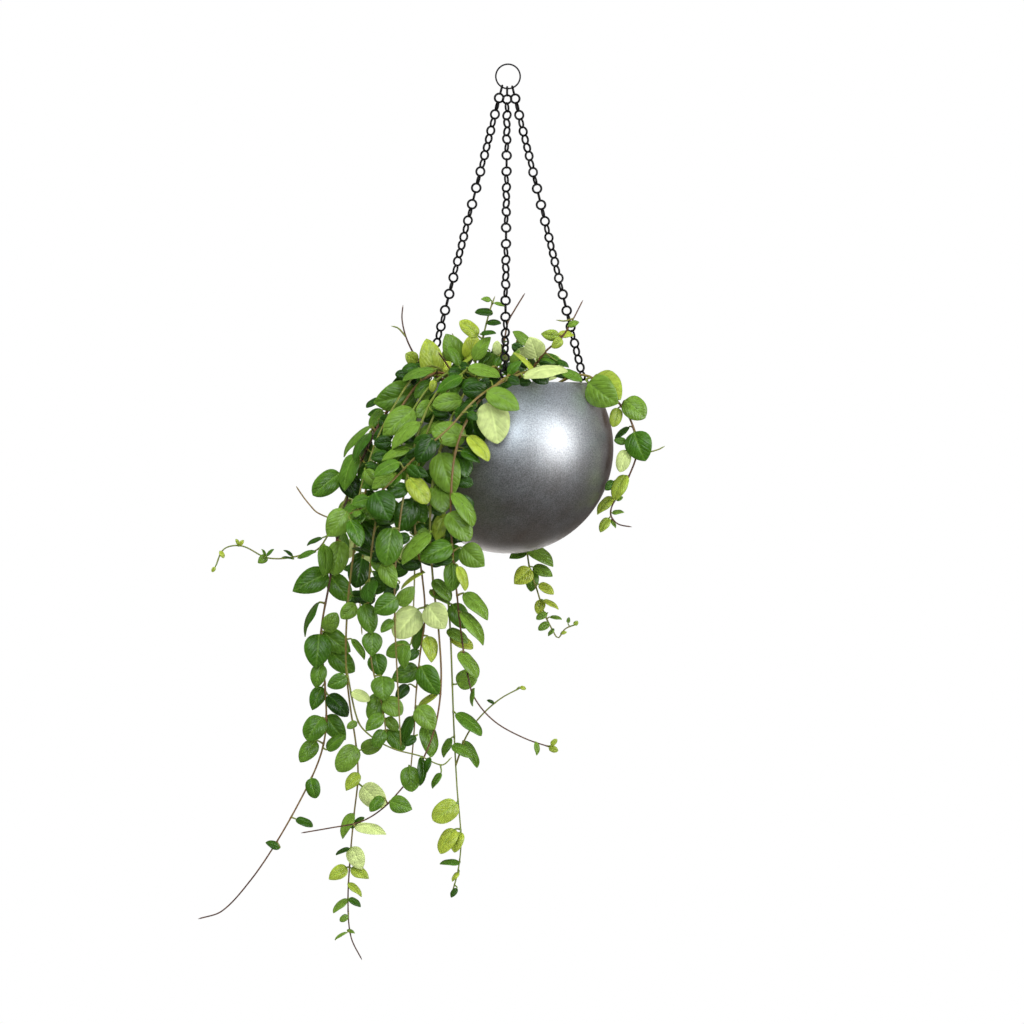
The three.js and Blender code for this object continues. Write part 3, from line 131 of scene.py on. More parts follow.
VINES = [
    dict(name="vine_left_long", root=[-48, -10], leaf=33, gap=30, bare=34, tip_bare=104, taper=170,
         tip_gap=1.4, droop=0.8, front=0.8,
         route=[[-70, -17, -312], [-84, -23, -308], [-100, -32, -320], [-123, -42, -350], [-144, -50, -390],
                [-160, -54, -430], [-171, -58, -475], [-179, -60, -520], [-187, -62, -570],
                [-183, -60, -620], [-182, -60, -662], [-188, -60, -692], [-204, -60, -728],
                [-232, -60, -778], [-258, -60, -816], [-286, -58, -846], [-310, -56, -854]],
         shoots=[dict(at=0.24, leaf=13, gap=34, bare=40, tip_bare=3, taper=20,
                route=[[-186, -66, -480], [-210, -68, -491], [-240, -70, -493], [-266, -72, -481],
                       [-284, -72, -484], [-293, -72, -503]])]),
    dict(name="vine_lowest", root=[-40, -26], leaf=32, gap=31, bare=34, tip_bare=14, taper=190,
         droop=0.8, front=0.9,
         route=[[-57, -38, -312], [-72, -49, -308], [-94, -64, -324], [-117, -77, -362], [-136, -86, -405],
                [-148, -90, -450], [-156, -92, -500], [-161, -90, -550], [-162, -86, -600],
                [-158, -82, -640], [-152, -78, -680], [-150, -76, -712], [-154, -74, -750],
                [-158, -72, -795], [-160, -70, -838], [-157, -70, -872], [-146, -70, -895]],
         shoots=[dict(at=0.565, leaf=18, gap=34, bare=32, tip_bare=4, taper=40,
                route=[[-150, -92, -656], [-136, -98, -672], [-114, -104, -684], [-88, -109, -691],
                       [-66, -112, -700], [-56, -112, -692]])]),
    dict(name="vine_inner_left", root=[-30, -34], leaf=31, gap=30, bare=34, tip_bare=6, taper=50,
         droop=0.8, front=1,
         route=[[-44, -52, -311], [-58, -66, -307], [-82, -84, -326], [-104, -98, -364], [-121, -106, -410],
                [-132, -110, -455], [-138, -110, -505], [-140, -106, -555], [-136, -102, -600],
                [-126, -100, -640], [-121, -98, -676]]),
    dict(name="vine_inner_right", root=[-22, -44], leaf=31, gap=31, bare=34, tip_bare=6, taper=50,
         droop=0.8, front=1,
         route=[[-35, -60, -311], [-47, -73, -307], [-70, -92, -326], [-88, -110, -362], [-100, -120, -408],
                [-108, -124, -455], [-113, -124, -505], [-113, -118, -560], [-111, -114, -605],
                [-109, -112, -645], [-107, -112, -682]]),
    dict(name="vine_middle", root=[-16, -32], leaf=35, gap=35, bare=40, tip_bare=8, taper=70,
         droop=0.8, front=1,
         route=[[-26, -58, -307], [-36, -78, -302], [-56, -98, -320], [-78, -104, -360], [-91, -106, -410],
                [-93, -108, -465], [-86, -106, -510], [-83, -104, -550], [-88, -102, -590],
                [-92, -100, -630], [-94, -100, -668], [-98, -100, -712]]),
    dict(name="vine_middle_curl", root=[-8, -52], leaf=31, gap=34, bare=34, tip_bare=34, taper=140,
         droop=0.8, front=1,
         route=[[-18, -69, -311], [-26, -82, -307], [-42, -100, -326], [-60, -112, -362], [-74, -114, -410],
                [-78, -112, -460], [-75, -110, -515], [-69, -108, -570], [-67, -106, -620],
                [-73, -106, -662], [-88, -106, -700], [-105, -104, -722], [-126, -102, -744],
                [-148, -100, -757], [-178, -98, -763], [-207, -96, -768]]),
    dict(name="vine_right_middle", root=[0, -40], leaf=31, gap=44, bare=44, tip_bare=6, taper=90,
         droop=0.85, front=1,
         route=[[-9, -66, -307], [-15, -84, -302], [-30, -98, -322], [-46, -104, -356], [-58, -104, -404],
                [-64, -100, -456], [-62, -94, -508], [-58, -90, -560], [-56, -88, -610], [-54, -84, -665],
                [-51, -82, -722], [-47, -80, -775], [-50, -78, -806], [-56, -78, -828]],
         shoots=[dict(at=0.79, leaf=12, gap=30, bare=34, tip_bare=2, taper=20,
                route=[[-42, -90, -672], [-28, -92, -652], [-8, -94, -634], [14, -94, -622]])]),
    dict(name="vine_right_front", root=[12, -52], leaf=31, gap=34, bare=40, tip_bare=94, taper=90,
         droop=0.8, front=1,
         route=[[12, -70, -311], [9, -86, -307], [-12, -108, -320], [-36, -124, -346], [-52, -130, -385],
                [-57, -130, -430], [-56, -124, -480], [-51, -116, -530], [-46, -110, -575],
                [-41, -108, -606], [-34, -106, -632], [-14, -104, -656], [16, -102, -673],
                [45, -100, -683]]),
    dict(name="vine_diagonal", root=[24, -46], leaf=37, gap=29, bare=40, tip_bare=66, taper=120,
         droop=0.5, front=1,
         route=[[26, -68, -311], [20, -88, -307], [-4, -112, -316], [-32, -134, -334], [-60, -142, -364],
                [-88, -142, -388], [-114, -138, -414], [-142, -134, -440], [-172, -130, -453],
                [-190, -126, -448], [-199, -123, -439], [-206, -121, -430], [-212, -120, -421]]),
    dict(name="vine_shoulder", root=[-54, -28], leaf=38, gap=27, bare=28, tip_bare=4, taper=60,
         droop=0.7, front=0.9,
         route=[[-66, -37, -306], [-78, -49, -301], [-93, -66, -310], [-112, -84, -338], [-130, -98, -372],
                [-144, -108, -412], [-154, -114, -452]]),
    dict(name="vine_back_left", root=[-44, 30], leaf=34, gap=40, bare=46, tip_bare=8, taper=110,
         droop=0.75, front=0,
         route=[[-58, 44, -310], [-72, 55, -306], [-96, 68, -326], [-120, 72, -366], [-135, 68, -420],
                [-144, 60, -480], [-148, 50, -530], [-146, 44, -570]]),
    dict(name="vine_back", root=[-18, 40], leaf=34, gap=41, bare=46, tip_bare=8, taper=100,
         droop=0.75, front=0,
         route=[[-28, 62, -310], [-38, 77, -306], [-56, 95, -326], [-74, 106, -366], [-85, 102, -420],
                [-92, 92, -475], [-94, 80, -530], [-96, 72, -580]]),
    dict(name="vine_behind_low", root=[18, 42], leaf=30, gap=31, bare=50, tip_bare=3, taper=120,
         droop=0.75, front=0,
         route=[[20, 64, -311], [20, 82, -307], [20, 106, -328], [19, 118, -370], [18, 114, -420],
                [18, 104, -465], [21, 97, -500], [29, 93, -525], [37, 91, -550], [44, 90, -564],
                [50, 90, -573], [57, 90, -564], [69, 90, -559]]),
    dict(name="vine_right", root=[40, -22], leaf=35, gap=25, bare=48, tip_bare=3, taper=110,
         droop=0.8, front=0.8,
         route=[[60, -26, -313], [76, -28, -310], [93, -32, -319], [110, -36, -337], [121, -38, -352],
                [127, -39, -368], [130, -39, -382], [127, -38, -396], [120, -37, -413], [112, -35, -428],
                [104, -33, -441], [103, -32, -451], [110, -32, -459], [124, -32, -462]],
         shoots=[dict(at=0.53, leaf=10, gap=30, bare=28, tip_bare=1, taper=8,
                route=[[138, -44, -386], [149, -44, -385], [157, -44, -381]])]),
    dict(name="shoot_tall_left", root=[-56, 6], leaf=17, gap=20, bare=46, tip_bare=20, taper=40,
         droop=-0.2, front=0.5,
         route=[[-70, 6, -312], [-84, 2, -302], [-94, -4, -289], [-102, -9, -272], [-106, -11, -254],
                [-105, -12, -240]],
         shoots=[dict(at=0.74, leaf=8, gap=20, bare=20, tip_bare=20, taper=8,
                route=[[-110, -11, -263], [-117, -11, -261]])]),
    dict(name="shoot_left", root=[-48, -44], leaf=22, gap=20, bare=22, tip_bare=3, taper=40,
         droop=0.2, front=1,
         route=[[-54, -52, -312], [-62, -59, -298], [-70, -64, -287]]),
    dict(name="shoot_centre_left", root=[-28, -12], leaf=22, gap=20, bare=18, tip_bare=16, taper=60,
         droop=-0.1, front=0.8,
         route=[[-32, -18, -310], [-32, -22, -292], [-26, -24, -276], [-22, -24, -260], [-18, -24, -245],
                [-13, -24, -231]]),
    dict(name="shoot_centre", root=[-8, -16], leaf=20, gap=20, bare=20, tip_bare=44, taper=70,
         droop=0.1, front=0.8,
         route=[[-8, -22, -310], [-7, -28, -294], [-3, -30, -272], [0, -30, -257], [6, -30, -246],
                [17, -30, -228]]),
    dict(name="shoot_right", root=[16, -10], leaf=20, gap=20, bare=20, tip_bare=6, taper=60,
         droop=0, front=0.8,
         route=[[20, -16, -312], [28, -22, -299], [38, -26, -286], [53, -28, -273], [63, -30, -258],
                [75, -30, -235]],
         shoots=[dict(at=0.84, leaf=8, gap=20, bare=20, tip_bare=20, taper=8,
                route=[[57, -30, -256], [48, -30, -255]])]),
    dict(name="shoot_back", root=[2, 20], leaf=33, gap=21, bare=20, tip_bare=5, taper=50,
         droop=0, front=-0.5,
         route=[[2, 26, -311], [4, 34, -295], [8, 44, -281], [10, 54, -270]]),
    dict(name="shoot_back_left", root=[-28, 12], leaf=33, gap=21, bare=20, tip_bare=5, taper=50,
         droop=0, front=0.1,
         route=[[-34, 16, -311], [-42, 22, -296], [-50, 28, -281], [-56, 32, -268]]),
]

# The last number of each leaf is its tone, 0 the darkest to 3 the palest and 4 an underside. It follows how
# dark the leaf looks, so the darker tones are partly painted shade and the paler ones partly painted light.
FRONT_LEAVES = [
    # beside and over the right of the rim
    (588, 383, 617, 404, 33, 2), (597, 374, 623, 403, 33, 3), (625, 400, 645, 418, 24, 2),
    (618, 408, 613, 427, 13, 3), (629, 427, 615, 440, 6, 0), (634, 432, 645, 461, 28, 1),
    (626, 450, 620, 472, 15, 4), (626, 442, 614, 440, 8, 1), (626, 475, 614, 500, 13, 3),
    (614, 481, 604, 492, 11, 1), (613, 497, 597, 514, 12, 3), (616, 500, 623, 497, 5, 2),
    (612, 513, 624, 512, 5, 2), (609, 518, 600, 532, 8, 3), (611, 520, 616, 528, 4, 2),
    # standing above the pot, right to left
    (537, 358, 530, 338, 23, 4), (559, 336, 541, 334, 12, 3), (562, 339, 552, 348, 10, 3),
    (558, 334, 574, 335, 6, 3), (568, 326, 579, 322, 6, 2), (541, 356, 561, 363, 11, 1),
    (557, 361, 569, 367, 6, 0), (523, 377, 567, 370, 17, 4), (562, 372, 582, 381, 10, 1),
    (529, 345, 513, 331, 9, 2), (536, 376, 514, 352, 6, 3), (512, 366, 519, 350, 10, 2),
    (508, 374, 521, 361, 11, 1), (434, 377, 427, 339, 23, 3), (460, 362, 446, 334, 23, 2),
    (459, 366, 449, 346, 9, 1), (468, 359, 475, 335, 18, 3), (474, 360, 490, 337, 16, 2),
    (478, 336, 460, 321, 14, 3), (491, 300, 481, 299, 5, 2), (493, 313, 475, 312, 6, 0),
    (487, 323, 501, 323, 5, 0), (494, 303, 505, 306, 4, 2), (417, 362, 406, 354, 14, 3),
    (436, 375, 451, 362, 12, 3), (501, 354, 494, 368, 10, 1), (481, 334, 496, 333, 5, 0),
    (497, 355, 497, 341, 9, 4), (490, 352, 479, 365, 8, 1),
    # over the left of the rim
    (417, 392, 374, 403, 32, 1), (434, 370, 403, 380, 9, 1), (430, 382, 415, 398, 15, 1),
    (436, 381, 422, 407, 10, 2), (434, 380, 432, 392, 8, 3), (432, 402, 417, 417, 16, 2),
    (462, 400, 433, 405, 19, 2), (462, 396, 490, 416, 16, 2), (487, 392, 519, 409, 20, 2),
    (488, 390, 463, 391, 18, 0), (488, 378, 456, 378, 6, 3), (462, 377, 437, 392, 10, 1),
    (468, 368, 500, 376, 8, 2), (480, 377, 494, 377, 5, 3), (486, 352, 446, 376, 6, 3),
    (380, 399, 366, 407, 7, 0), (382, 410, 370, 428, 9, 1), (414, 410, 383, 435, 25, 2),
    (419, 422, 392, 448, 14, 2), (371, 426, 343, 456, 13, 1), (370, 433, 355, 462, 9, 0),
    (378, 427, 370, 438, 8, 0), (370, 440, 363, 471, 13, 0), (356, 454, 344, 490, 20, 1),
    (340, 473, 313, 495, 21, 1), (345, 474, 358, 500, 22, 0), (399, 462, 374, 476, 16, 1),
    (409, 448, 382, 460, 8, 2), (365, 470, 378, 486, 14, 2), (394, 474, 372, 488, 12, 2),
    (382, 489, 358, 497, 6, 2), (408, 487, 385, 496, 14, 0),
    # in front of the pot's left side
    (446, 425, 417, 433, 14, 2), (466, 437, 432, 431, 25, 2), (489, 402, 498, 443, 34, 4),
    (468, 436, 489, 460, 16, 3), (461, 451, 480, 462, 8, 0), (432, 438, 418, 462, 20, 0),
    (440, 453, 453, 494, 31, 2), (433, 462, 440, 485, 13, 3), (409, 478, 428, 503, 19, 3),
    (440, 484, 443, 512, 28, 2), (453, 493, 474, 525, 11, 2), (412, 497, 425, 522, 20, 1),
    (414, 500, 398, 531, 26, 0), (448, 513, 470, 540, 24, 2), (446, 514, 436, 540, 18, 3),
    (452, 545, 421, 560, 22, 1), (430, 533, 402, 563, 12, 2), (428, 530, 417, 537, 10, 2),
    (462, 547, 484, 566, 25, 2),
    # left of the pot and below its middle
    (347, 511, 328, 536, 26, 2), (351, 500, 338, 510, 8, 2), (350, 520, 361, 546, 16, 1),
    (375, 492, 390, 520, 30, 0), (392, 528, 386, 565, 27, 1), (362, 522, 378, 550, 18, 0),
    (341, 541, 334, 575, 22, 2), (325, 545, 325, 576, 16, 1), (328, 573, 293, 591, 24, 1),
    (330, 576, 350, 600, 22, 1), (362, 558, 356, 588, 24, 0), (383, 563, 395, 588, 18, 2),
    (352, 548, 380, 560, 8, 0), (376, 590, 367, 596, 6, 2), (322, 538, 307, 545, 5, 0),
    (299, 558, 316, 551, 5, 1), (293, 559, 282, 557, 3, 0), (293, 556, 284, 550, 3, 0),
    (267, 556, 258, 563, 9, 2), (266, 556, 262, 549, 3, 1), (267, 556, 274, 549, 3, 1),
    (239, 545, 236, 539, 4, 3), (240, 545, 244, 540, 4, 3), (220, 551, 224, 558, 5, 3),
    (215, 567, 212, 572, 4, 3),
    # behind the pot, below it
    (527, 546, 554, 566, 18, 2), (533, 567, 553, 576, 13, 2), (531, 569, 514, 584, 19, 3),
    (533, 571, 531, 592, 14, 1), (527, 551, 509, 558, 10, 1), (539, 584, 554, 594, 8, 3),
    (542, 600, 537, 614, 11, 3), (543, 600, 559, 609, 7, 3), (547, 613, 536, 619, 8, 2),
    (549, 623, 538, 630, 8, 2), (550, 617, 562, 619, 5, 2), (554, 629, 548, 636, 5, 2),
    (561, 633, 567, 632, 4, 3), (568, 623, 569, 617, 4, 2), (574, 625, 578, 621, 5, 3),
    # the hanging strands, from the pot's foot down
    (425, 572, 401, 588, 5, 3), (452, 563, 452, 591, 18, 1), (458, 566, 466, 590, 12, 3),
    (433, 580, 451, 600, 14, 1), (430, 590, 450, 604, 10, 2), (464, 593, 488, 619, 16, 2),
    (452, 604, 466, 628, 20, 1), (428, 605, 445, 628, 26, 4), (418, 609, 395, 637, 29, 4),
    (398, 605, 414, 587, 16, 2), (397, 598, 375, 612, 22, 1), (356, 605, 341, 618, 16, 2),
    (364, 604, 372, 633, 20, 1), (393, 620, 381, 632, 10, 1), (461, 612, 484, 644, 12, 2),
    (447, 630, 468, 642, 12, 2), (450, 637, 473, 648, 12, 3), (428, 636, 432, 662, 16, 3),
    (422, 625, 415, 650, 9, 1), (459, 652, 478, 677, 10, 2), (457, 684, 477, 674, 20, 2),
    (456, 713, 482, 734, 15, 1), (474, 688, 472, 706, 4, 1), (437, 695, 417, 708, 6, 3),
    (421, 666, 438, 694, 24, 1), (418, 706, 434, 729, 22, 2), (425, 725, 432, 757, 18, 1),
    (416, 736, 405, 745, 8, 0), (452, 745, 473, 756, 12, 1), (463, 741, 478, 767, 7, 1),
    (451, 738, 443, 757, 8, 1), (410, 645, 386, 655, 15, 1), (405, 645, 404, 668, 12, 1),
    (418, 650, 407, 660, 10, 0), (418, 668, 392, 680, 20, 1), (408, 685, 396, 700, 12, 0),
    (372, 632, 372, 656, 21, 1), (375, 654, 381, 676, 20, 1), (382, 676, 384, 700, 24, 1),
    (352, 639, 365, 659, 9, 1), (379, 698, 372, 722, 19, 1), (352, 692, 370, 700, 10, 4),
    (347, 677, 328, 686, 16, 1), (384, 698, 367, 704, 15, 1), (383, 715, 366, 730, 14, 1),
    (384, 700, 402, 714, 20, 2), (384, 730, 374, 747, 14, 1), (388, 730, 404, 750, 17, 1),
    (386, 718, 398, 730, 12, 2), (412, 716, 403, 743, 12, 0), (319, 602, 304, 636, 5, 0),
    (325, 631, 337, 613, 17, 2), (319, 634, 316, 668, 28, 1), (323, 632, 350, 652, 22, 1),
    (330, 652, 354, 672, 22, 1), (321, 664, 316, 688, 17, 1), (322, 687, 312, 710, 15, 1),
    (328, 695, 348, 716, 18, 0), (322, 717, 307, 740, 23, 1), (326, 716, 345, 740, 21, 1),
    (316, 741, 300, 762, 17, 1), (327, 750, 345, 735, 13, 1), (311, 778, 316, 798, 15, 1),
    (296, 819, 313, 826, 9, 0), (280, 848, 266, 842, 7, 0), (356, 746, 338, 771, 22, 2),
    (357, 722, 347, 728, 8, 2), (361, 750, 383, 742, 16, 2), (359, 773, 346, 790, 12, 3),
    (362, 786, 385, 806, 24, 4), (383, 797, 370, 811, 12, 1), (409, 766, 412, 791, 20, 1),
    (390, 801, 412, 809, 18, 1), (421, 757, 421, 785, 9, 0), (441, 773, 432, 788, 8, 1),
    (430, 757, 426, 772, 6, 0), (353, 813, 342, 838, 14, 2), (351, 828, 364, 817, 7, 0),
    (355, 827, 386, 833, 12, 4), (351, 847, 362, 869, 18, 4), (350, 848, 336, 854, 4, 0),
    (347, 867, 329, 879, 13, 3), (351, 868, 369, 878, 12, 3), (348, 883, 362, 896, 8, 3),
    (348, 899, 333, 912, 8, 2), (349, 898, 361, 906, 6, 0), (348, 915, 340, 921, 7, 2),
    (347, 932, 335, 939, 3, 2), (347, 930, 355, 933, 4, 2), (457, 803, 433, 820, 22, 3),
    (455, 829, 440, 853, 14, 3), (461, 832, 454, 852, 11, 3), (460, 863, 440, 863, 3, 1),
    (459, 872, 452, 881, 6, 3), (457, 888, 451, 897, 5, 0), (549, 747, 558, 751, 7, 3),
    (551, 745, 557, 739, 5, 3), (536, 742, 537, 755, 4, 2), (520, 687, 526, 689, 4, 3),
    (494, 703, 487, 700, 4, 0),
]

FRONT = np.array([0.0, -1.0, 0.0])
UP = np.array([0.0, 0.0, 1.0])
VIEWER = np.array([4.0, -8000.0, -447.0])
VIEW_CORNER = np.array([-508.0, 0.0, 65.0])
HIDDEN_MARGIN = 4
DEPTH_COST = 0.03
SAMPLES_PER_SPAN = 10

# The outline of the thick of the plant in the photo, and the places on a leaf where it is tested, as shares
# of its length and half breadth. The stalk's foot is the last place, and lines join them.
THICKET = [
    (412, 354), (445, 334), (500, 340), (545, 346), (574, 370), (574, 384), (508, 388), (508, 430),
    (490, 456), (478, 500), (464, 560), (440, 568), (404, 574), (394, 606), (372, 606), (345, 604),
    (322, 592), (328, 560), (325, 536), (340, 508), (336, 482), (350, 450), (362, 430), (368, 402),
    (390, 380),
]
PROBES = np.array([
    (0.02, 0.06), (0.12, 0.6), (0.4, 1), (0.74, 0.7), (1, 0), (0.74, -0.7), (0.4, -1), (0.12, -0.6),
    (0.45, 0), (0.2, 0.3), (0.2, -0.3), (0.75, 0.1),
])
NECK = len(PROBES)
PROBE_LINES = np.array([
    (0, 1), (1, 2), (2, 3), (3, 4), (4, 5), (5, 6), (6, 7), (7, 0), (0, 8), (8, 4), (2, 6), (1, 5), (3, 7),
    (NECK, 0), (NECK, 1), (NECK, 7),
])
FROM, TO = PROBE_LINES[:, 0], PROBE_LINES[:, 1]

# What is tried for a leaf, in this order, until it touches nothing: its scale, how far its tip turns to the
# viewer and how far before its stem it starts, and for a wild leaf its swing in degrees and its lift.
SCALES = (1, 0.85, 0.7)
TURNS = (0.12, 0.35, -0.15, 0.6, -0.45, 0.9, -0.8, 1.2)
FORWARDS = (1, 5, 9, -4, 13, -8, 18, -13, 24)
TRIES = (
    (0, 0), (18, 0), (-18, 0), (0, 0.35), (34, 0.15), (-34, 0.15), (0, 0.8), (52, 0.3), (-52, 0.3), (20, 0.6),
    (-20, 0.6),
)
SMALL_SCALES, SMALL_TURNS, SMALL_FORWARDS = (1, 0.75), (0.12, -0.3), (-5, -12, 6)


def size(vector):
    return math.sqrt(float(vector @ vector))


def unit(vector):
    return vector / size(vector)


def cross(one, other):
    return np.array([
        one[1] * other[2] - one[2] * other[1],
        one[2] * other[0] - one[0] * other[2],
        one[0] * other[1] - one[1] * other[0],
    ])


def from_view(x, y, z):
    """The place at depth y that a viewer in front sees at x, z of the plane through the ring."""
    share = 1 - y / VIEWER[1]
    return np.array([VIEWER[0] + share * (x - VIEWER[0]), y, VIEWER[2] + share * (z - VIEWER[2])])


def draws_from(seed):
    """Numbers between 0 and 1, the same each time for the same seed."""
    state = seed
    while True:
        state = (state * 1664525 + 1013904223) % 4294967296
        yield state / 4294967296


def stem_draws(stem, stride):
    """The draws of one stem, past the first ones, which are alike for seeds that are near each other."""
    draws = draws_from(FIRST_SEED + stride * stem.index)
    for _ in range(ALIKE_DRAWS):
        next(draws)
    return draws


def drawn(draws, least, spread):
    return least + spread * next(draws)


class Line:
    """A smooth line through corners, as close samples with the length up to each."""

    def __init__(self, corners):
        last = len(corners) - 1
        reach = [size(corners[i + 1] - corners[i]) for i in range(last)]
        tangents = []
        for i in range(last + 1):
            span = (reach[i - 1] if i else 0) + (reach[i] if i < last else 0)
            tangents.append((corners[min(i + 1, last)] - corners[max(i - 1, 0)]) / span)
        samples = [corners[0]]
        self.lengths = [0.0]
        for i in range(last):
            for step in range(1, SAMPLES_PER_SPAN + 1):
                t = step / SAMPLES_PER_SPAN
                sample = (
                    corners[i] * (2 * t**3 - 3 * t**2 + 1) + tangents[i] * (reach[i] * (t**3 - 2 * t**2 + t))
                    + corners[i + 1] * (3 * t**2 - 2 * t**3) + tangents[i + 1] * (reach[i] * (t**3 - t**2))
                )
                self.lengths.append(self.lengths[-1] + size(sample - samples[-1]))
                samples.append(sample)
        self.samples = np.array(samples)
        self.length = self.lengths[-1]

    def at(self, distance):
        """The point and the direction at a length along the line."""
        i = bisect_left(self.lengths, distance, 1, len(self.lengths) - 1)
        before, after = self.samples[i - 1], self.samples[i]
        share = (distance - self.lengths[i - 1]) / (self.lengths[i] - self.lengths[i - 1])
        return before + (after - before) * share, unit(after - before)


class Stem:
    """One stem: its line, the facts of its vine and its place among all stems."""

    def __init__(self, facts, vine, corners, girth, index):
        self.facts = facts
        self.vine = vine
        self.line = Line(corners)
        self.girth = girth
        self.index = index
        self.is_shoot = girth < 1

    def radius(self, distance):
        thick = STEM_RADIUS * self.girth
        return thick + (STEM_TIP_RADIUS - thick) * distance / self.line.length

    def can_hold(self, node):
        """Whether a leaf can leave the stem at a node, clear of the soil and of the tip."""
        first = NODE_STEP if self.is_shoot else ROOT_DEPTH + ROOT_RISE + NODE_STEP
        return first <= node <= self.line.length - TIP_CONE - NODE_STEP / 2


def node_at(distance):
    return NODE_STEP * math.floor(distance / NODE_STEP + 0.5)


def grow_stems():
    stems = []
    for vine in VINES:
        x, y = vine["root"]
        root = [np.array([x, y, SOIL_TOP_Z + height], float) for height in (-ROOT_DEPTH, -1, ROOT_RISE)]
        corners = root + [from_view(*place) for place in vine["route"]]
        main = Stem(vine, vine["name"], corners, 1, len(stems))
        stems.append(main)
        for shoot in vine.get("shoots", []):
            start = main.line.at(shoot["at"] * main.line.length)[0]
            corners = [start] + [from_view(*place) for place in shoot["route"]]
            stems.append(Stem({**vine, **shoot}, vine["name"], corners, 0.7, len(stems)))
    return stems


class Leaf:
    """One leaf: where it leaves its stem, where its blade starts, and its length, breadth and directions."""

    def __init__(self, stem, distance, away, along, face, base, length, width, curl):
        self.stem, self.distance, self.away = stem, distance, away
        self.along, self.face, self.base = along, face, base
        self.length, self.width, self.curl = length, width, curl
        self.across = cross(face, along)
        self.centre = self.points(OVAL_MIDDLE, 0, 0.5 * self.dome(0.5, 0))
        u, v = PROBES[:, 0], PROBES[:, 1]
        neck = stem.line.at(distance)[0] + away * stem.radius(distance)
        self.probes = np.vstack([self.points(u, v, self.dome(u, v)), neck])

    def points(self, u, v, w):
        """Places on the leaf: a share u of its length, v of its half breadth, and w above its plane."""
        u, v, w = (np.asarray(value, float)[..., None] for value in (u, v, w))
        return self.base + u * self.length * self.along + v * (self.width / 2) * self.across + w * self.face

    def dome(self, u, v):
        return self.length * (DOME * 4 * u * (1 - u) * (1 - 0.75 * v * v) - self.curl * u * u)


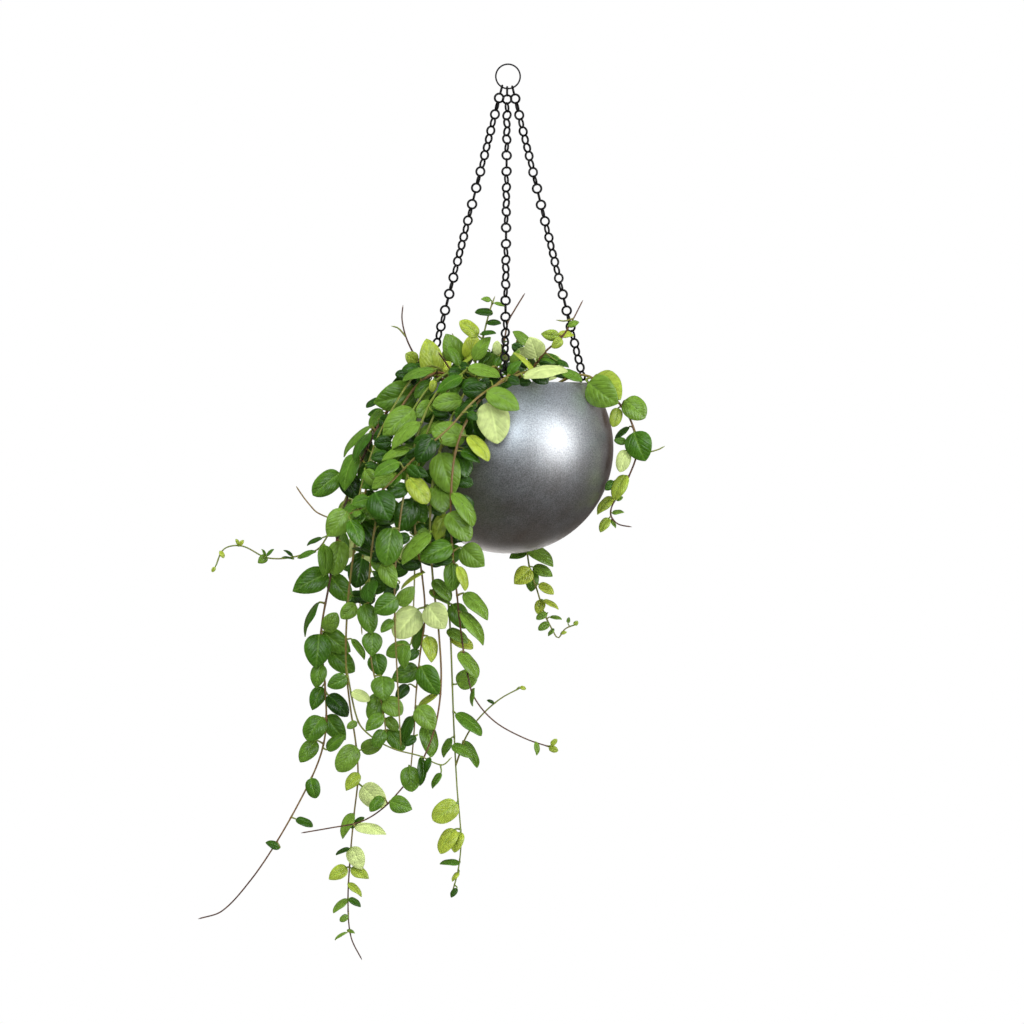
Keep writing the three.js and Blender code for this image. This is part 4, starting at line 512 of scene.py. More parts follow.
class Thicket:
    """The placed leaves, with the tests that keep a new one clear of the pot, chains, stems and leaves."""

    def __init__(self, stems, runs):
        self.stems = stems
        self.runs = runs
        self.points = np.vstack([stem.line.samples for stem in stems])
        self.of_stem = np.concatenate([np.full(len(stem.line.samples), stem.index) for stem in stems])
        self.lengths = np.concatenate([stem.line.lengths for stem in stems])
        self.can_hold = np.array([
            stem.can_hold(node_at(length)) for stem in stems for length in stem.line.lengths
        ])
        self.leaves = []
        self.seen = 0
        self.rows = {name: np.zeros((0, 3)) for name in ("centre", "along", "across", "face")}
        self.numbers = np.zeros((0, 4))
        self.probes = np.zeros((0, NECK + 1, 3))

    def add(self, leaf):
        self.leaves.append(leaf)
        for name, rows in self.rows.items():
            self.rows[name] = np.vstack([rows, getattr(leaf, name)])
        numbers = [leaf.length, leaf.width, leaf.stem.index, leaf.distance]
        self.numbers = np.vstack([self.numbers, numbers])
        self.probes = np.concatenate([self.probes, leaf.probes[None]])

    def hits_holder(self, probes):
        low = probes[:, 2] < RIM_Z + RIM_CLEARANCE
        from_centre = np.linalg.norm(probes - (0, 0, GLOBE_CENTRE_Z), axis=1)
        if (low & (from_centre < GLOBE_RADIUS + POT_CLEARANCE)).any():
            return True
        for run in self.runs:
            offsets = probes - run["on_ring"]
            offsets = offsets - (offsets @ run["along"])[:, None] * run["along"]
            if (np.linalg.norm(offsets, axis=1) < CHAIN_CLEARANCE).any():
                return True
        return False

    def hits_stem(self, leaf):
        own = self.of_stem == leaf.stem.index
        other = ~(own & (np.abs(self.lengths - leaf.distance) < OWN_STEM_REACH))
        near_base = ~own & (np.linalg.norm(self.points - leaf.base, axis=1) < STEM_CLEARANCE + 1)
        offsets = self.points - leaf.centre
        near = np.linalg.norm(offsets, axis=1) <= OVAL_REACH * leaf.length + STEM_CLEARANCE
        flat = np.abs(offsets @ leaf.face) < STEM_CLEARANCE
        u = (offsets @ leaf.along) / (OVAL_REACH * leaf.length + STEM_RADIUS + 1)
        v = (offsets @ leaf.across) / (leaf.width / 2 + STEM_RADIUS + 1)
        return bool((other & (near_base | (near & flat & (u * u + v * v < 1)))).any())

    def hits_leaf(self, leaf):
        if not self.leaves:
            return False
        lengths, widths, stems, distances = self.numbers.T
        apart = np.linalg.norm(self.rows["centre"] - leaf.centre, axis=1)
        near = apart <= OVAL_REACH * (lengths + leaf.length) + 3 * LEAF_CLEARANCE
        if not near.any():
            return False
        pair = (stems[near] == leaf.stem.index) & (distances[near] == leaf.distance)
        rows = [self.rows[name][near] for name in ("along", "across", "face")]
        offsets = leaf.probes[None] - self.rows["centre"][near][:, None]
        if crosses(offsets, *rows, lengths[near], widths[near], pair):
            return True
        own = [np.broadcast_to(getattr(leaf, name), (len(pair), 3)) for name in ("along", "across", "face")]
        length, width = np.full(len(pair), leaf.length), np.full(len(pair), leaf.width)
        return crosses(self.probes[near] - leaf.centre, *own, length, width, pair)

    def sight(self, probes, count):
        """Which points have each of the first leaves behind them in the viewer's sight, and before them."""
        centre, along, across, face = (rows[:count] for rows in self.rows.values())
        length, width = self.numbers[:count, 0], self.numbers[:count, 1]
        looks = probes - VIEWER
        looks /= np.linalg.norm(looks, axis=1)[:, None]
        with np.errstate(divide="ignore", invalid="ignore"):
            depths = np.einsum("kpi,ki->kp", centre[:, None] - probes[None], face) / (face @ looks.T)
            offsets = probes[None] + depths[..., None] * looks[None] - centre[:, None]
            u = np.einsum("kpi,ki->kp", offsets, along) / (OVAL_REACH * length)[:, None]
            v = np.einsum("kpi,ki->kp", offsets, across) / (width / 2)[:, None]
        meets = u * u + v * v < 1
        return meets & (depths > 0), meets & (depths < 0)

    def is_behind(self, leaf):
        """Whether a leaf is in the thick of the plant and hides little of the leaves of the view."""
        behind = self.sight(leaf.probes[:NECK], self.seen)[0]
        return behind.sum() <= SPARED_PROBES and all(is_covered(probe) for probe in leaf.probes)

    def is_in_gap(self, leaf):
        """Whether a leaf shows between those before it, and fills a gap there."""
        x, y, z = leaf.centre
        if z < RIM_Z and y > 0 and math.hypot(x, z - GLOBE_CENTRE_Z) < GLOBE_RADIUS:
            return False
        before = self.sight(leaf.probes[:NECK], len(self.leaves))[1]
        return (~before.any(axis=0)).sum() >= SHOWN_PROBES and self.is_behind(leaf)

    def add_first_free(self, makers, tone, is_allowed=None):
        """Adds the first leaf made that is allowed and touches nothing. Without a tone it gets one later."""
        for make in makers:
            leaf = make()
            if is_allowed and not is_allowed(leaf):
                continue
            if not (self.hits_holder(leaf.probes) or self.hits_stem(leaf) or self.hits_leaf(leaf)):
                leaf.tone = tone
                self.add(leaf)
                return


def crosses(offsets, along, across, face, lengths, widths, pair):
    """Whether a set of leaves' probes, or the lines between them, touch the plates of other leaves."""
    heights = np.einsum("kpi,ki->kp", offsets, face)
    u = np.einsum("kpi,ki->kp", offsets, along) / (OVAL_REACH * lengths + 1)[:, None]
    v = np.einsum("kpi,ki->kp", offsets, across) / (widths / 2 + 1)[:, None]
    close = (np.abs(heights) < LEAF_CLEARANCE) & (u * u + v * v < 1)
    close[pair, NECK] = False
    if close.any():
        return True
    start, end = heights[:, FROM], heights[:, TO]
    through = start * end < 0
    through[np.ix_(pair, FROM == NECK)] = False
    if not through.any():
        return False
    share = start / np.where(through, start - end, 1)
    u = u[:, FROM] + (u[:, TO] - u[:, FROM]) * share
    v = v[:, FROM] + (v[:, TO] - v[:, FROM]) * share
    return bool((through & (u * u + v * v < 1)).any())


def is_covered(place):
    """Whether a place is in the thick of the plant, or out of the viewer's sight behind the pot."""
    x, y, z = place
    if y > 0 and math.hypot(x, z - GLOBE_CENTRE_Z) < GLOBE_RADIUS - HIDDEN_MARGIN:
        return True
    share = 1 - y / VIEWER[1]
    seen_x = VIEWER[0] + (x - VIEWER[0]) / share - VIEW_CORNER[0]
    seen_y = VIEW_CORNER[2] - VIEWER[2] - (z - VIEWER[2]) / share
    inside = False
    for (corner_x, corner_y), (next_x, next_y) in zip(THICKET, THICKET[1:] + THICKET[:1]):
        if (corner_y > seen_y) != (next_y > seen_y):
            edge_x = corner_x + (seen_y - corner_y) / (next_y - corner_y) * (next_x - corner_x)
            inside = inside != (seen_x < edge_x)
    return inside


def wild_leaf(stem, distance, wish, swing, lift, scale):
    """A leaf as it would grow from a stem, turned about it by swing degrees and lifted by some more."""
    point, stem_along = stem.line.at(distance)
    outward = np.array([point[0], point[1], 0.0])
    if size(outward) < 1:
        outward = FRONT
    look = unit(unit(outward) + FRONT * stem.facts["front"])
    sideways = cross(stem_along, look)
    if size(sideways) < 0.2:
        sideways = cross(stem_along, UP)
    sideways = unit(sideways)
    frontwards = unit(cross(sideways, stem_along))
    angle = wish["angle"] + math.radians(swing)
    away = unit(sideways * math.cos(angle) + frontwards * (0.7 * math.sin(angle)))
    length = wish["length"] * scale
    hang = -stem.facts["droop"] * (0.75 + 0.5 * wish["droop"])
    along = unit(away * 0.85 + stem_along * 0.3 + UP * hang + look * lift)
    face = look * 0.9 + UP * 0.45 + 0.75 * (np.array(wish["tilt"]) - 0.5)
    face = unit(face - along * (face @ along))
    if wish["turned"]:
        face = -face
    stalk = STALK_LENGTH + STALK_SHARE * length
    base = point + away * (stem.radius(distance) + 0.65 * stalk) + along * (0.5 * stalk)
    return Leaf(stem, distance, away, along, face, base, length, length * wish["breadth"], wish["curl"])


def node_below(foot_x, foot_z, thicket):
    """The stem and the node nearest to a place of the view, the nearer to the viewer the better."""
    depth = thicket.points[:, 1]
    share = 1 - depth / VIEWER[1]
    feet_x = VIEWER[0] + share * (foot_x - VIEWER[0])
    feet_z = VIEWER[2] + share * (foot_z - VIEWER[2])
    reach = np.hypot(thicket.points[:, 0] - feet_x, thicket.points[:, 2] - feet_z)
    cost = np.where(thicket.can_hold & (reach < LONGEST_PETIOLE), reach + DEPTH_COST * depth, math.inf)
    nearest = len(cost) - 1 - int(np.argmin(cost[::-1]))
    if math.isinf(cost[nearest]):
        return None
    stem = thicket.stems[thicket.of_stem[nearest]]
    foot = np.array([feet_x[nearest], depth[nearest], feet_z[nearest]])
    return stem, node_at(thicket.lengths[nearest]), foot


def seen_leaf(node, reach, breadth, roll, forward, turn, scale):
    """A leaf of the view, with its foot some way before its stem and its tip turned to the viewer."""
    stem, distance, foot = node
    point = stem.line.at(distance)[0]
    aside = math.hypot(foot[0] - point[0], foot[2] - point[2])
    least = math.sqrt(max(0, SHORTEST_PETIOLE**2 - aside**2))
    base = np.array([foot[0], point[1] - math.copysign(max(abs(forward), least), forward), foot[2]])
    shown = size(reach)
    whole = max(shown, breadth / BROADEST)
    along = reach + FRONT * (math.sqrt(whole**2 - shown**2) + turn * whole)
    length = size(along) * scale
    along = unit(along)
    width = max(breadth, NARROWEST * whole) * scale
    face = unit(FRONT - along * (FRONT @ along))
    edge_on = math.acos(min(1, breadth / (NARROWEST * whole)))
    upwards = 1 if cross(along, face)[2] > 0 else -1
    angle = upwards * edge_on + roll
    face = face * math.cos(angle) + cross(along, face) * math.sin(angle)
    return Leaf(stem, distance, unit(base - point), along, face, base, length, width, SEEN_CURL)


def place_leaves(stems, runs):
    """The places of all leaves: those of the view, then those that fill the thick of the plant, and the small
    dark ones that paint the shade in its gaps.
    """
    thicket = Thicket(stems, runs)
    place_seen_leaves(thicket)
    thicket.seen = len(thicket.leaves)
    for stem in stems:
        fill_stem(stem, stem_draws(stem, LEAF_STRIDE), thicket)
    for stride, start in zip(SMALL_STRIDES, SMALL_STARTS):
        for stem in stems:
            fill_gaps_with_shade(stem, stem_draws(stem, stride), thicket, start)
    return thicket.leaves


def place_seen_leaves(thicket):
    """The leaves of the view, the broadest first."""
    draws = draws_from(FIRST_SEED)
    for foot_x, foot_y, tip_x, tip_y, breadth, tone in sorted(FRONT_LEAVES, key=lambda row: -row[4]):
        node = node_below(VIEW_CORNER[0] + foot_x, VIEW_CORNER[2] - foot_y, thicket)
        reach = np.array([tip_x - foot_x, 0.0, foot_y - tip_y])
        roll = FRONT_ROLL * (next(draws) - 0.5)
        if not node:
            continue
        near = [leaf for leaf in thicket.leaves if leaf.stem is node[0] and leaf.distance == node[1]]
        if len(near) == NODE_LEAVES:
            continue
        makers = (
            (lambda: seen_leaf(node, reach, breadth, roll, forward, turn, scale))
            for scale in SCALES for turn in TURNS for forward in FORWARDS
        )
        thicket.add_first_free(makers, tone)


def fill_stem(stem, draws, thicket):
    """Leaves in pairs along a stem, each pair at right angles to the last, where the stem has none yet."""
    facts = stem.facts
    taken = [leaf.distance for leaf in thicket.leaves if leaf.stem is stem]
    tip_gap = facts.get("tip_gap", TIP_GAP)
    quarter = next(draws)
    along = facts["bare"]
    while along < stem.line.length - facts["tip_bare"]:
        left = stem.line.length - facts["tip_bare"] - along
        grown = min(1, SMALLEST_SHARE + (1 - SMALLEST_SHARE) * (left / facts["taper"]))
        distance = node_at(along)
        is_taken = any(abs(other - distance) < NEAR_SHARE * facts["gap"] * grown for other in taken)
        for half in (0, 1):
            wish = {
                "angle": (quarter + half * 2 + 0.3 * (next(draws) - 0.5)) * (math.pi / 2),
                "length": facts["leaf"] * grown * drawn(draws, *LENGTH_SHARES),
                "breadth": drawn(draws, *BREADTH_SHARES),
                "droop": next(draws),
                "tilt": [next(draws), next(draws), next(draws)],
                "turned": next(draws) < TURNED_SHARE,
                "curl": drawn(draws, *CURLS),
            }
            if next(draws) < LOST_LEAVES or is_taken:
                continue
            makers = (
                (lambda: wild_leaf(stem, distance, wish, swing, lift, scale))
                for scale in SCALES for swing, lift in TRIES
            )
            thicket.add_first_free(makers, None, thicket.is_behind)
        quarter += 1
        along += facts["gap"] * (tip_gap + (1 - tip_gap) * grown) * drawn(draws, *GAP_SHARES)


def fill_gaps_with_shade(stem, draws, thicket, along):
    """Small dark leaves behind the others, where the viewer would see through the thick of the plant: painted
    shade in its gaps.
    """
    while along < stem.line.length - stem.facts["tip_bare"]:
        node = node_at(along)
        point = stem.line.at(node)[0]
        for half in (0, 1):
            aim = math.radians(FIRST_AIM + AIM_STEP * half + AIM_SPREAD * (next(draws) - 0.5))
            length = SMALL_LENGTH * drawn(draws, *SMALL_LENGTHS)
            reach = length * np.array([math.cos(aim), 0.0, math.sin(aim)])
            foot = point + SMALL_ASIDE * np.array([next(draws) - 0.5, 0.0, next(draws) - 0.5])
            breadth, roll = length * drawn(draws, *SMALL_BREADTHS), next(draws) - 0.5
            near = sum(leaf.stem is stem and leaf.distance == node for leaf in thicket.leaves)
            if near >= NODE_LEAVES or not stem.can_hold(node):
                continue
            makers = (
                (lambda: seen_leaf((stem, node, foot), reach, breadth, roll, forward, turn, scale))
                for scale in SMALL_SCALES for turn in SMALL_TURNS for forward in SMALL_FORWARDS
            )
            # Tone 0, the darkest, paints the shade deep in the plant.
            thicket.add_first_free(makers, 0, thicket.is_in_gap)
        along += SMALL_GAP


def outwards(compass):
    angle = math.radians(compass)
    return np.array([math.cos(angle), math.sin(angle), 0.0])


def chain_run(compass, ring_angle):
    """Where a chain's ends are: its run from the ring's wire to the hole in the wall."""
    loop_radius = RING_OUTER_RADIUS - RING_WIRE_RADIUS
    ring_centre = np.array([0, 0, -(RING_OUTER_RADIUS - 2 * RING_WIRE_RADIUS)])
    lean = math.radians(ring_angle)
    on_ring = ring_centre + loop_radius * np.array([math.sin(lean), 0, -math.cos(lean)])
    hole_z = RIM_Z - HOLE_DROP
    reach = math.sqrt((GLOBE_RADIUS - WALL / 2) ** 2 - (hole_z - GLOBE_CENTRE_Z) ** 2)
    at_hole = outwards(compass) * reach + UP * hole_z
    along = unit(at_hole - on_ring)
    start = on_ring - along * (RING_WIRE_RADIUS + LINK_WIRE_RADIUS + SEAT_GAP)
    end = at_hole - along * LAST_LINK_LIFT
    return {"on_ring": on_ring, "at_hole": at_hole, "along": along, "start": start, "end": end}


# The finish of a stem along it, as shares of its length and how woody it is there: 0 is green, 1 dark brown.
GREEN_TWIG = [(0, 0.3), (1, 0.15)]
PLAIN_STEM = [(0, 0.15), (0.5, 0.2), (1, 0.3)]
WOODINESS = {
    "vine_left_long": [(0, 0.4), (0.2, 0.8), (0.4, 0.9), (0.52, 0.45), (0.8, 0.5), (0.9, 0.8), (1, 0.75)],
    "vine_lowest": [(0, 0.6), (0.3, 0.4), (0.82, 0.4), (0.9, 0.75), (1, 0.8)],
    "vine_inner_left": [(0, 0.12), (0.4, 0.15), (0.55, 0.4), (1, 0.35)],
    "vine_inner_right": [(0, 0.12), (0.4, 0.2), (0.55, 0.45), (1, 0.35)],
    "vine_middle": [(0, 0.12), (0.4, 0.25), (0.6, 0.5), (1, 0.4)],
    "vine_middle_curl": [(0, 0.15), (0.4, 0.25), (0.6, 0.5), (0.8, 0.7), (1, 0.75)],
    "vine_right_middle": [(0, 0.3), (0.4, 0.2), (1, 0.15)],
    "vine_right_front": [(0, 0.35), (0.4, 0.5), (0.7, 0.7), (1, 0.7)],
    "vine_diagonal": [(0, 0.35), (1, 0.45)],
    "vine_right": [(0, 0.3), (0.4, 0.5), (0.6, 0.7), (1, 0.75)],
    "shoot_tall_left": [(0, 0.85), (1, 0.75)],
    "shoot_right": [(0, 0.62), (1, 0.7)],
    "shoot_centre": [(0, 0.6), (1, 0.68)],
    "shoot_left": [(0, 0.6), (1, 0.7)],
}

# The shares of a leaf's length where its blade has a row of points, and the shares of its half breadth
# there, on a round leaf with a short point and on an oval one with a long point.
BLADE_ROWS = np.array([0, 0.03, 0.08, 0.15, 0.25, 0.37, 0.45, 0.55, 0.67, 0.78, 0.87, 0.94, 0.98, 1])
ROUND_WIDTHS = np.array([0.06, 0.4, 0.64, 0.81, 0.93, 0.99, 1, 0.99, 0.93, 0.81, 0.64, 0.42, 0.2, 0.02])
OVAL_WIDTHS = np.array([0.06, 0.38, 0.62, 0.81, 0.95, 1, 0.98, 0.92, 0.78, 0.6, 0.4, 0.2, 0.08, 0.015])
BLADE_COLUMNS = np.array([-1, -0.92, -0.68, -0.38, -0.09, 0, 0.09, 0.38, 0.68, 0.92, 1])
# The rows and columns that a leaf shorter than this keeps, and its thickness as a share of a broad one's.
BROAD_LEAF = 12
KEPT_ROWS, KEPT_COLUMNS = [0, 1, 3, 4, 6, 8, 9, 11, 13], [0, 2, 3, 5, 7, 8, 10]
THIN_SHARE = 0.7
# How far a leaf's halves bulge and its edge waves, as shares of its length, and the waves along it.
BULGE, WAVE, WAVES = 0.03, 0.014, 9

# A stem's facets, its sections' spacing, its thickness and the swelling where a leaf leaves it.
STEM_FACETS, STEM_STEP = 8, 3
STEM_SHARE, SWELL_SHARE, SWELL_LENGTH, SWELL_REACH = 1.12, 0.3, 1.8, 6
# A leaf stalk's facets, its thickness, and that along it from the stem to the blade.
STALK_FACETS, STALK_RADIUS, STALK_RADIUS_SHARE = 7, 0.55, 0.016
STALK_TAPER = np.array([1.25, 1.1, 1, 0.95, 0.92, 0.92, 0.9, 0.8, 0.45])
LEAF_UV = "leaf_uv"
EXTRA_UV = "leaf_extra"


class Shape:
    """Points, faces, finishes and two maps of a mesh while it is made, in millimetres."""

    def __init__(self):
        self.points, self.faces, self.finishes, self.maps = [], [], [], []
        self.count = 0

    def add(self, points, faces, finish, uv=None, extra=None):
        blank = np.zeros((len(points), 2))
        self.points.append(points)
        self.faces += [[corner + self.count for corner in face] for face in faces]
        self.finishes += [finish] * len(faces) if isinstance(finish, int) else list(finish)
        self.maps.append(np.hstack([blank if uv is None else uv, blank if extra is None else extra]))
        self.count += len(points)

    def make(self, name, materials):
        """The mesh object, with smooth faces and both maps."""
        mesh = bpy.data.meshes.new(name)
        mesh.from_pydata(np.vstack(self.points) * MM, [], self.faces)
        for material in materials:
            mesh.materials.append(material)
        mesh.polygons.foreach_set("material_index", self.finishes)
        mesh.polygons.foreach_set("use_smooth", [True] * len(self.faces))
        corners = np.zeros(len(mesh.loops), np.int32)
        mesh.loops.foreach_get("vertex_index", corners)
        maps = np.vstack(self.maps)[corners]
        mesh.uv_layers.new(name=LEAF_UV).data.foreach_set("uv", maps[:, :2].ravel())
        mesh.uv_layers.new(name=EXTRA_UV).data.foreach_set("uv", maps[:, 2:].ravel())
        mesh.validate()
        mesh.update()
        made = bpy.data.objects.new(name, mesh)
        bpy.context.collection.objects.link(made)
        return made


def grid_faces(rows, columns, start=0, closed=False, flipped=False):
    """Quads between rows of points, each row columns long, and closed into a ring if asked."""
    faces = []
    for i in range(rows - 1):
        for j in range(columns if closed else columns - 1):
            following = (j + 1) % columns
            here, ahead = start + i * columns, start + (i + 1) * columns
            corners = [here + j, ahead + j, ahead + following, here + following]
            faces.append(corners[::-1] if flipped else corners)
    return faces


def tube(points, radii, sides):
    """The points and faces of a round bar along points, with flat ends."""
    along = np.gradient(points, axis=0)
    along /= np.linalg.norm(along, axis=1)[:, None]
    normal = np.array([1, 0.2, 0.1])
    angles = np.arange(sides) * (2 * math.pi / sides)
    rings = []
    for point, direction, radius in zip(points, along, radii):
        normal = unit(normal - direction * (normal @ direction))
        side = cross(direction, normal)
        rings.append(point + radius * (np.cos(angles)[:, None] * normal + np.sin(angles)[:, None] * side))
    faces = grid_faces(len(points), sides, closed=True, flipped=True)
    faces.append(list(range(sides))[::-1])
    faces.append([(len(points) - 1) * sides + i for i in range(sides)])
    return np.vstack(rings), faces


def torus(centre, right, up, loop_radius, wire_radius, segments, sides):
    """The points and faces of a ring of wire in the plane of right and up."""
    axis = cross(right, up)
    around = np.arange(segments) * (2 * math.pi / segments)
    about = np.arange(sides) * (2 * math.pi / sides)
    spokes = np.cos(around)[:, None] * right + np.sin(around)[:, None] * up
    reach = loop_radius + wire_radius * np.cos(about)
    lifts = wire_radius * np.sin(about)
    points = centre + reach[None, :, None] * spokes[:, None] + lifts[None, :, None] * axis
    faces = []
    for i in range(segments):
        for j in range(sides):
            ahead, beside = (i + 1) % segments, (j + 1) % sides
            corners = [(i, j), (ahead, j), (ahead, beside), (i, beside)]
            faces.append([a * sides + b for a, b in corners])
    return points.reshape(-1, 3), faces


def bezier(start, start_pull, end_pull, end, steps):
    t = np.linspace(0, 1, steps)[:, None]
    return (
        (1 - t) ** 3 * start + 3 * (1 - t) ** 2 * t * start_pull
        + 3 * (1 - t) * t**2 * end_pull + t**3 * end
    )


def add_stem(shape, stem, leaves, finish):
    """A stem's round bar, thicker where leaves leave it, with the woodiness of each place in its map."""
    length = stem.line.length
    places = np.linspace(0, length, max(6, math.ceil(length / STEM_STEP)))
    nodes = sorted({leaf.distance for leaf in leaves})
    radii = []
    for place in places:
        near = [place - node for node in nodes if abs(node - place) < SWELL_REACH]
        swell = sum(math.exp(-((apart / SWELL_LENGTH) ** 2)) for apart in near)
        tip = min(1, 0.25 + (length - place) / 4)
        radii.append(stem.radius(place) * tip * (STEM_SHARE + SWELL_SHARE * min(swell, 1)))
    points = np.array([stem.line.at(place)[0] for place in places])
    add_bark(shape, points, radii, STEM_FACETS, woodiness(stem, places / length), finish)


def add_bark(shape, points, radii, sides, wood, finish):
    """A round bar of the stems' material, with how woody each of its sections is in the second map."""
    ring, faces = tube(points, radii, sides)
    extra = np.column_stack([np.repeat(wood, sides), np.full(len(ring), 0.5)])
    shape.add(ring, faces, finish, extra=extra)


def woodiness(stem, share):
    steps = GREEN_TWIG if stem.is_shoot else WOODINESS.get(stem.vine, PLAIN_STEM)
    return np.interp(share, *zip(*steps))


def add_stalk(shape, leaf, finish):
    """A leaf's stalk, from inside its stem to just over the foot of its blade."""
    point = leaf.stem.line.at(leaf.distance)[0]
    start = point + leaf.away * (0.4 * leaf.stem.radius(leaf.distance))
    end = leaf.base + leaf.along * (0.05 * leaf.length) + leaf.face * 0.1
    pull = 0.4 * size(end - start)
    sections = len(STALK_TAPER)
    points = bezier(start, start + leaf.away * pull, end - leaf.along * pull, end, sections)
    radii = (STALK_RADIUS + STALK_RADIUS_SHARE * leaf.length) * STALK_TAPER
    wood = float(woodiness(leaf.stem, leaf.distance / leaf.stem.line.length))
    add_bark(shape, points, radii, STALK_FACETS, np.linspace(0.7 * wood, 0, sections), finish)


def add_blade(shape, leaf, settings, seed, finishes):
    """A leaf's closed blade, with a groove over its midrib, full halves and a waved thin edge."""
    roundness = (7.3 * seed) % 1
    rows, columns = BLADE_ROWS, BLADE_COLUMNS
    widths = OVAL_WIDTHS + roundness * (ROUND_WIDTHS - OVAL_WIDTHS)
    if leaf.length < BROAD_LEAF:
        rows, widths, columns = rows[KEPT_ROWS], widths[KEPT_ROWS], columns[KEPT_COLUMNS]
    u = np.repeat(rows, len(columns))
    v = np.outer(widths, columns).ravel()
    edge = np.abs(np.tile(columns, len(rows)))
    length = leaf.length
    across = np.abs(v) * leaf.width / 2
    height = leaf.dome(u, 0.8 * v)
    height -= settings.groove_depth / MM * np.exp(-((across / (0.04 * length)) ** 2)) * (1 - u)
    height += BULGE * length * np.sin(np.pi * np.abs(v)) * np.sin(np.pi * u)
    phase = 2 * math.pi * seed
    height += WAVE * length * np.sin(WAVES * u + phase + 2 * np.sign(v)) * edge**3 * np.sin(np.pi * u)
    thick = settings.leaf_thickness / MM * (0.35 + 0.65 * np.sqrt(np.clip(1 - edge**4, 0, 1)))
    if leaf.length < BROAD_LEAF:
        thick = THIN_SHARE * thick
    upper = leaf.points(u, v, height + thick / 2)
    lower = leaf.points(u, v, height - thick / 2)
    count = len(u)
    faces = grid_faces(len(rows), len(columns))
    faces += grid_faces(len(rows), len(columns), start=count, flipped=True)
    of_faces = np.repeat(finishes, len(faces) // 2).tolist()
    last = len(columns) - 1
    rim = [i * len(columns) for i in range(len(rows))]
    rim += [(len(rows) - 1) * len(columns) + j for j in range(1, last + 1)]
    rim += [i * len(columns) + last for i in range(len(rows) - 2, -1, -1)]
    rim += list(range(last - 1, 0, -1))
    for i, corner in enumerate(rim):
        following = rim[(i + 1) % len(rim)]
        faces.append([following, corner, corner + count, following + count])
    of_faces += [finishes[0]] * len(rim)
    uv = np.column_stack([u, 0.5 + 0.5 * v])
    extra = np.column_stack([edge, np.full(count, seed)])
    shape.add(np.vstack([upper, lower]), faces, of_faces, np.vstack([uv, uv]), np.vstack([extra, extra]))


class Nodes:
    """Adds and joins the nodes of one node tree."""

    def __init__(self, tree):
        self.tree = tree

    def add(self, kind, inputs=None, **settings):
        node = self.tree.nodes.new(kind)
        for name, value in settings.items():
            setattr(node, name, value)
        for name, value in (inputs or {}).items():
            if isinstance(value, bpy.types.NodeSocket):
                self.tree.links.new(value, node.inputs[name])
            else:
                node.inputs[name].default_value = value
        return node

    def math(self, operation, *values, clamp=False):
        node = self.add("ShaderNodeMath", dict(enumerate(values)), operation=operation, use_clamp=clamp)
        return node.outputs[0]

    def mix(self, share, one, other, blend="MIX"):
        node = self.add("ShaderNodeMix", data_type="RGBA", blend_type=blend)
        for socket, value in ((node.inputs[0], share), (node.inputs[6], one), (node.inputs[7], other)):
            if isinstance(value, bpy.types.NodeSocket):
                self.tree.links.new(value, socket)
            else:
                socket.default_value = value
        return node.outputs[2]

    def spread(self, value, low, high, to_low=0.0, to_high=1.0):
        """A value between low and high, spread over other limits."""
        inputs = {"Value": value, "From Min": low, "From Max": high, "To Min": to_low, "To Max": to_high}
        return self.add("ShaderNodeMapRange", inputs).outputs["Result"]

    def noise(self, scale, detail=3.0, roughness=0.5, at=None):
        inputs = {"Scale": scale, "Detail": detail, "Roughness": roughness}
        if at is not None:
            inputs["Vector"] = at
        return self.add("ShaderNodeTexNoise", inputs).outputs["Fac"]

    def map_parts(self, name):
        uv_map = self.add("ShaderNodeUVMap", uv_map=name)
        return self.add("ShaderNodeSeparateXYZ", {0: uv_map.outputs[0]}).outputs

    def place(self):
        return self.add("ShaderNodeTexCoord").outputs["Object"]

    def ramp(self, value, stops):
        node = self.add("ShaderNodeValToRGB", {"Fac": value})
        elements = node.color_ramp.elements
        while len(elements) < len(stops):
            elements.new(0.5)
        for element, (position, colour) in zip(elements, stops):
            element.position = position
            element.color = (*colour, 1)
        return node.outputs["Color"]


def linear(*colour):
    """A colour as it shows on a screen, from 0 to 255, as Blender's own values."""
    shares = [part / 255 for part in colour]
    return tuple(part / 12.92 if part <= 0.04045 else ((part + 0.055) / 1.055) ** 2.4 for part in shares)


def start_material(name, **constants):
    """A new material with its shader's plain values set."""
    material = bpy.data.materials.new(name)
    material.use_nodes = True
    nodes = Nodes(material.node_tree)
    shader = material.node_tree.nodes["Principled BSDF"]
    for socket, value in constants.items():
        shader.inputs[socket.replace("_", " ")].default_value = value
    return material, nodes, shader


def start_group(name, inputs, outputs):
    """A new node group with named sockets, and its nodes."""
    group = bpy.data.node_groups.new(name, "ShaderNodeTree")
    for label, kind, value in inputs:
        socket = group.interface.new_socket(label, in_out="INPUT", socket_type=kind)
        socket.default_value = value
    for label, kind in outputs:
        group.interface.new_socket(label, in_out="OUTPUT", socket_type=kind)
    nodes = Nodes(group)
    return group, nodes, nodes.add("NodeGroupInput").outputs, nodes.add("NodeGroupOutput")


def grain_group():
    """Fine grain and soft blotches, used on the wire, the pot, the soil and the stems."""
    group, nodes, given, out = start_group(
        "Grain and blotches",
        [("Grain Scale", "NodeSocketFloat", 900.0), ("Blotch Scale", "NodeSocketFloat", 60.0)],
        [("Grain", "NodeSocketFloat"), ("Blotches", "NodeSocketFloat")],
    )
    place = nodes.place()
    link = group.links.new
    link(nodes.noise(given["Grain Scale"], 2.0, 0.6, place), out.inputs["Grain"])
    link(nodes.noise(given["Blotch Scale"], 4.0, 0.55, place), out.inputs["Blotches"])
    return group


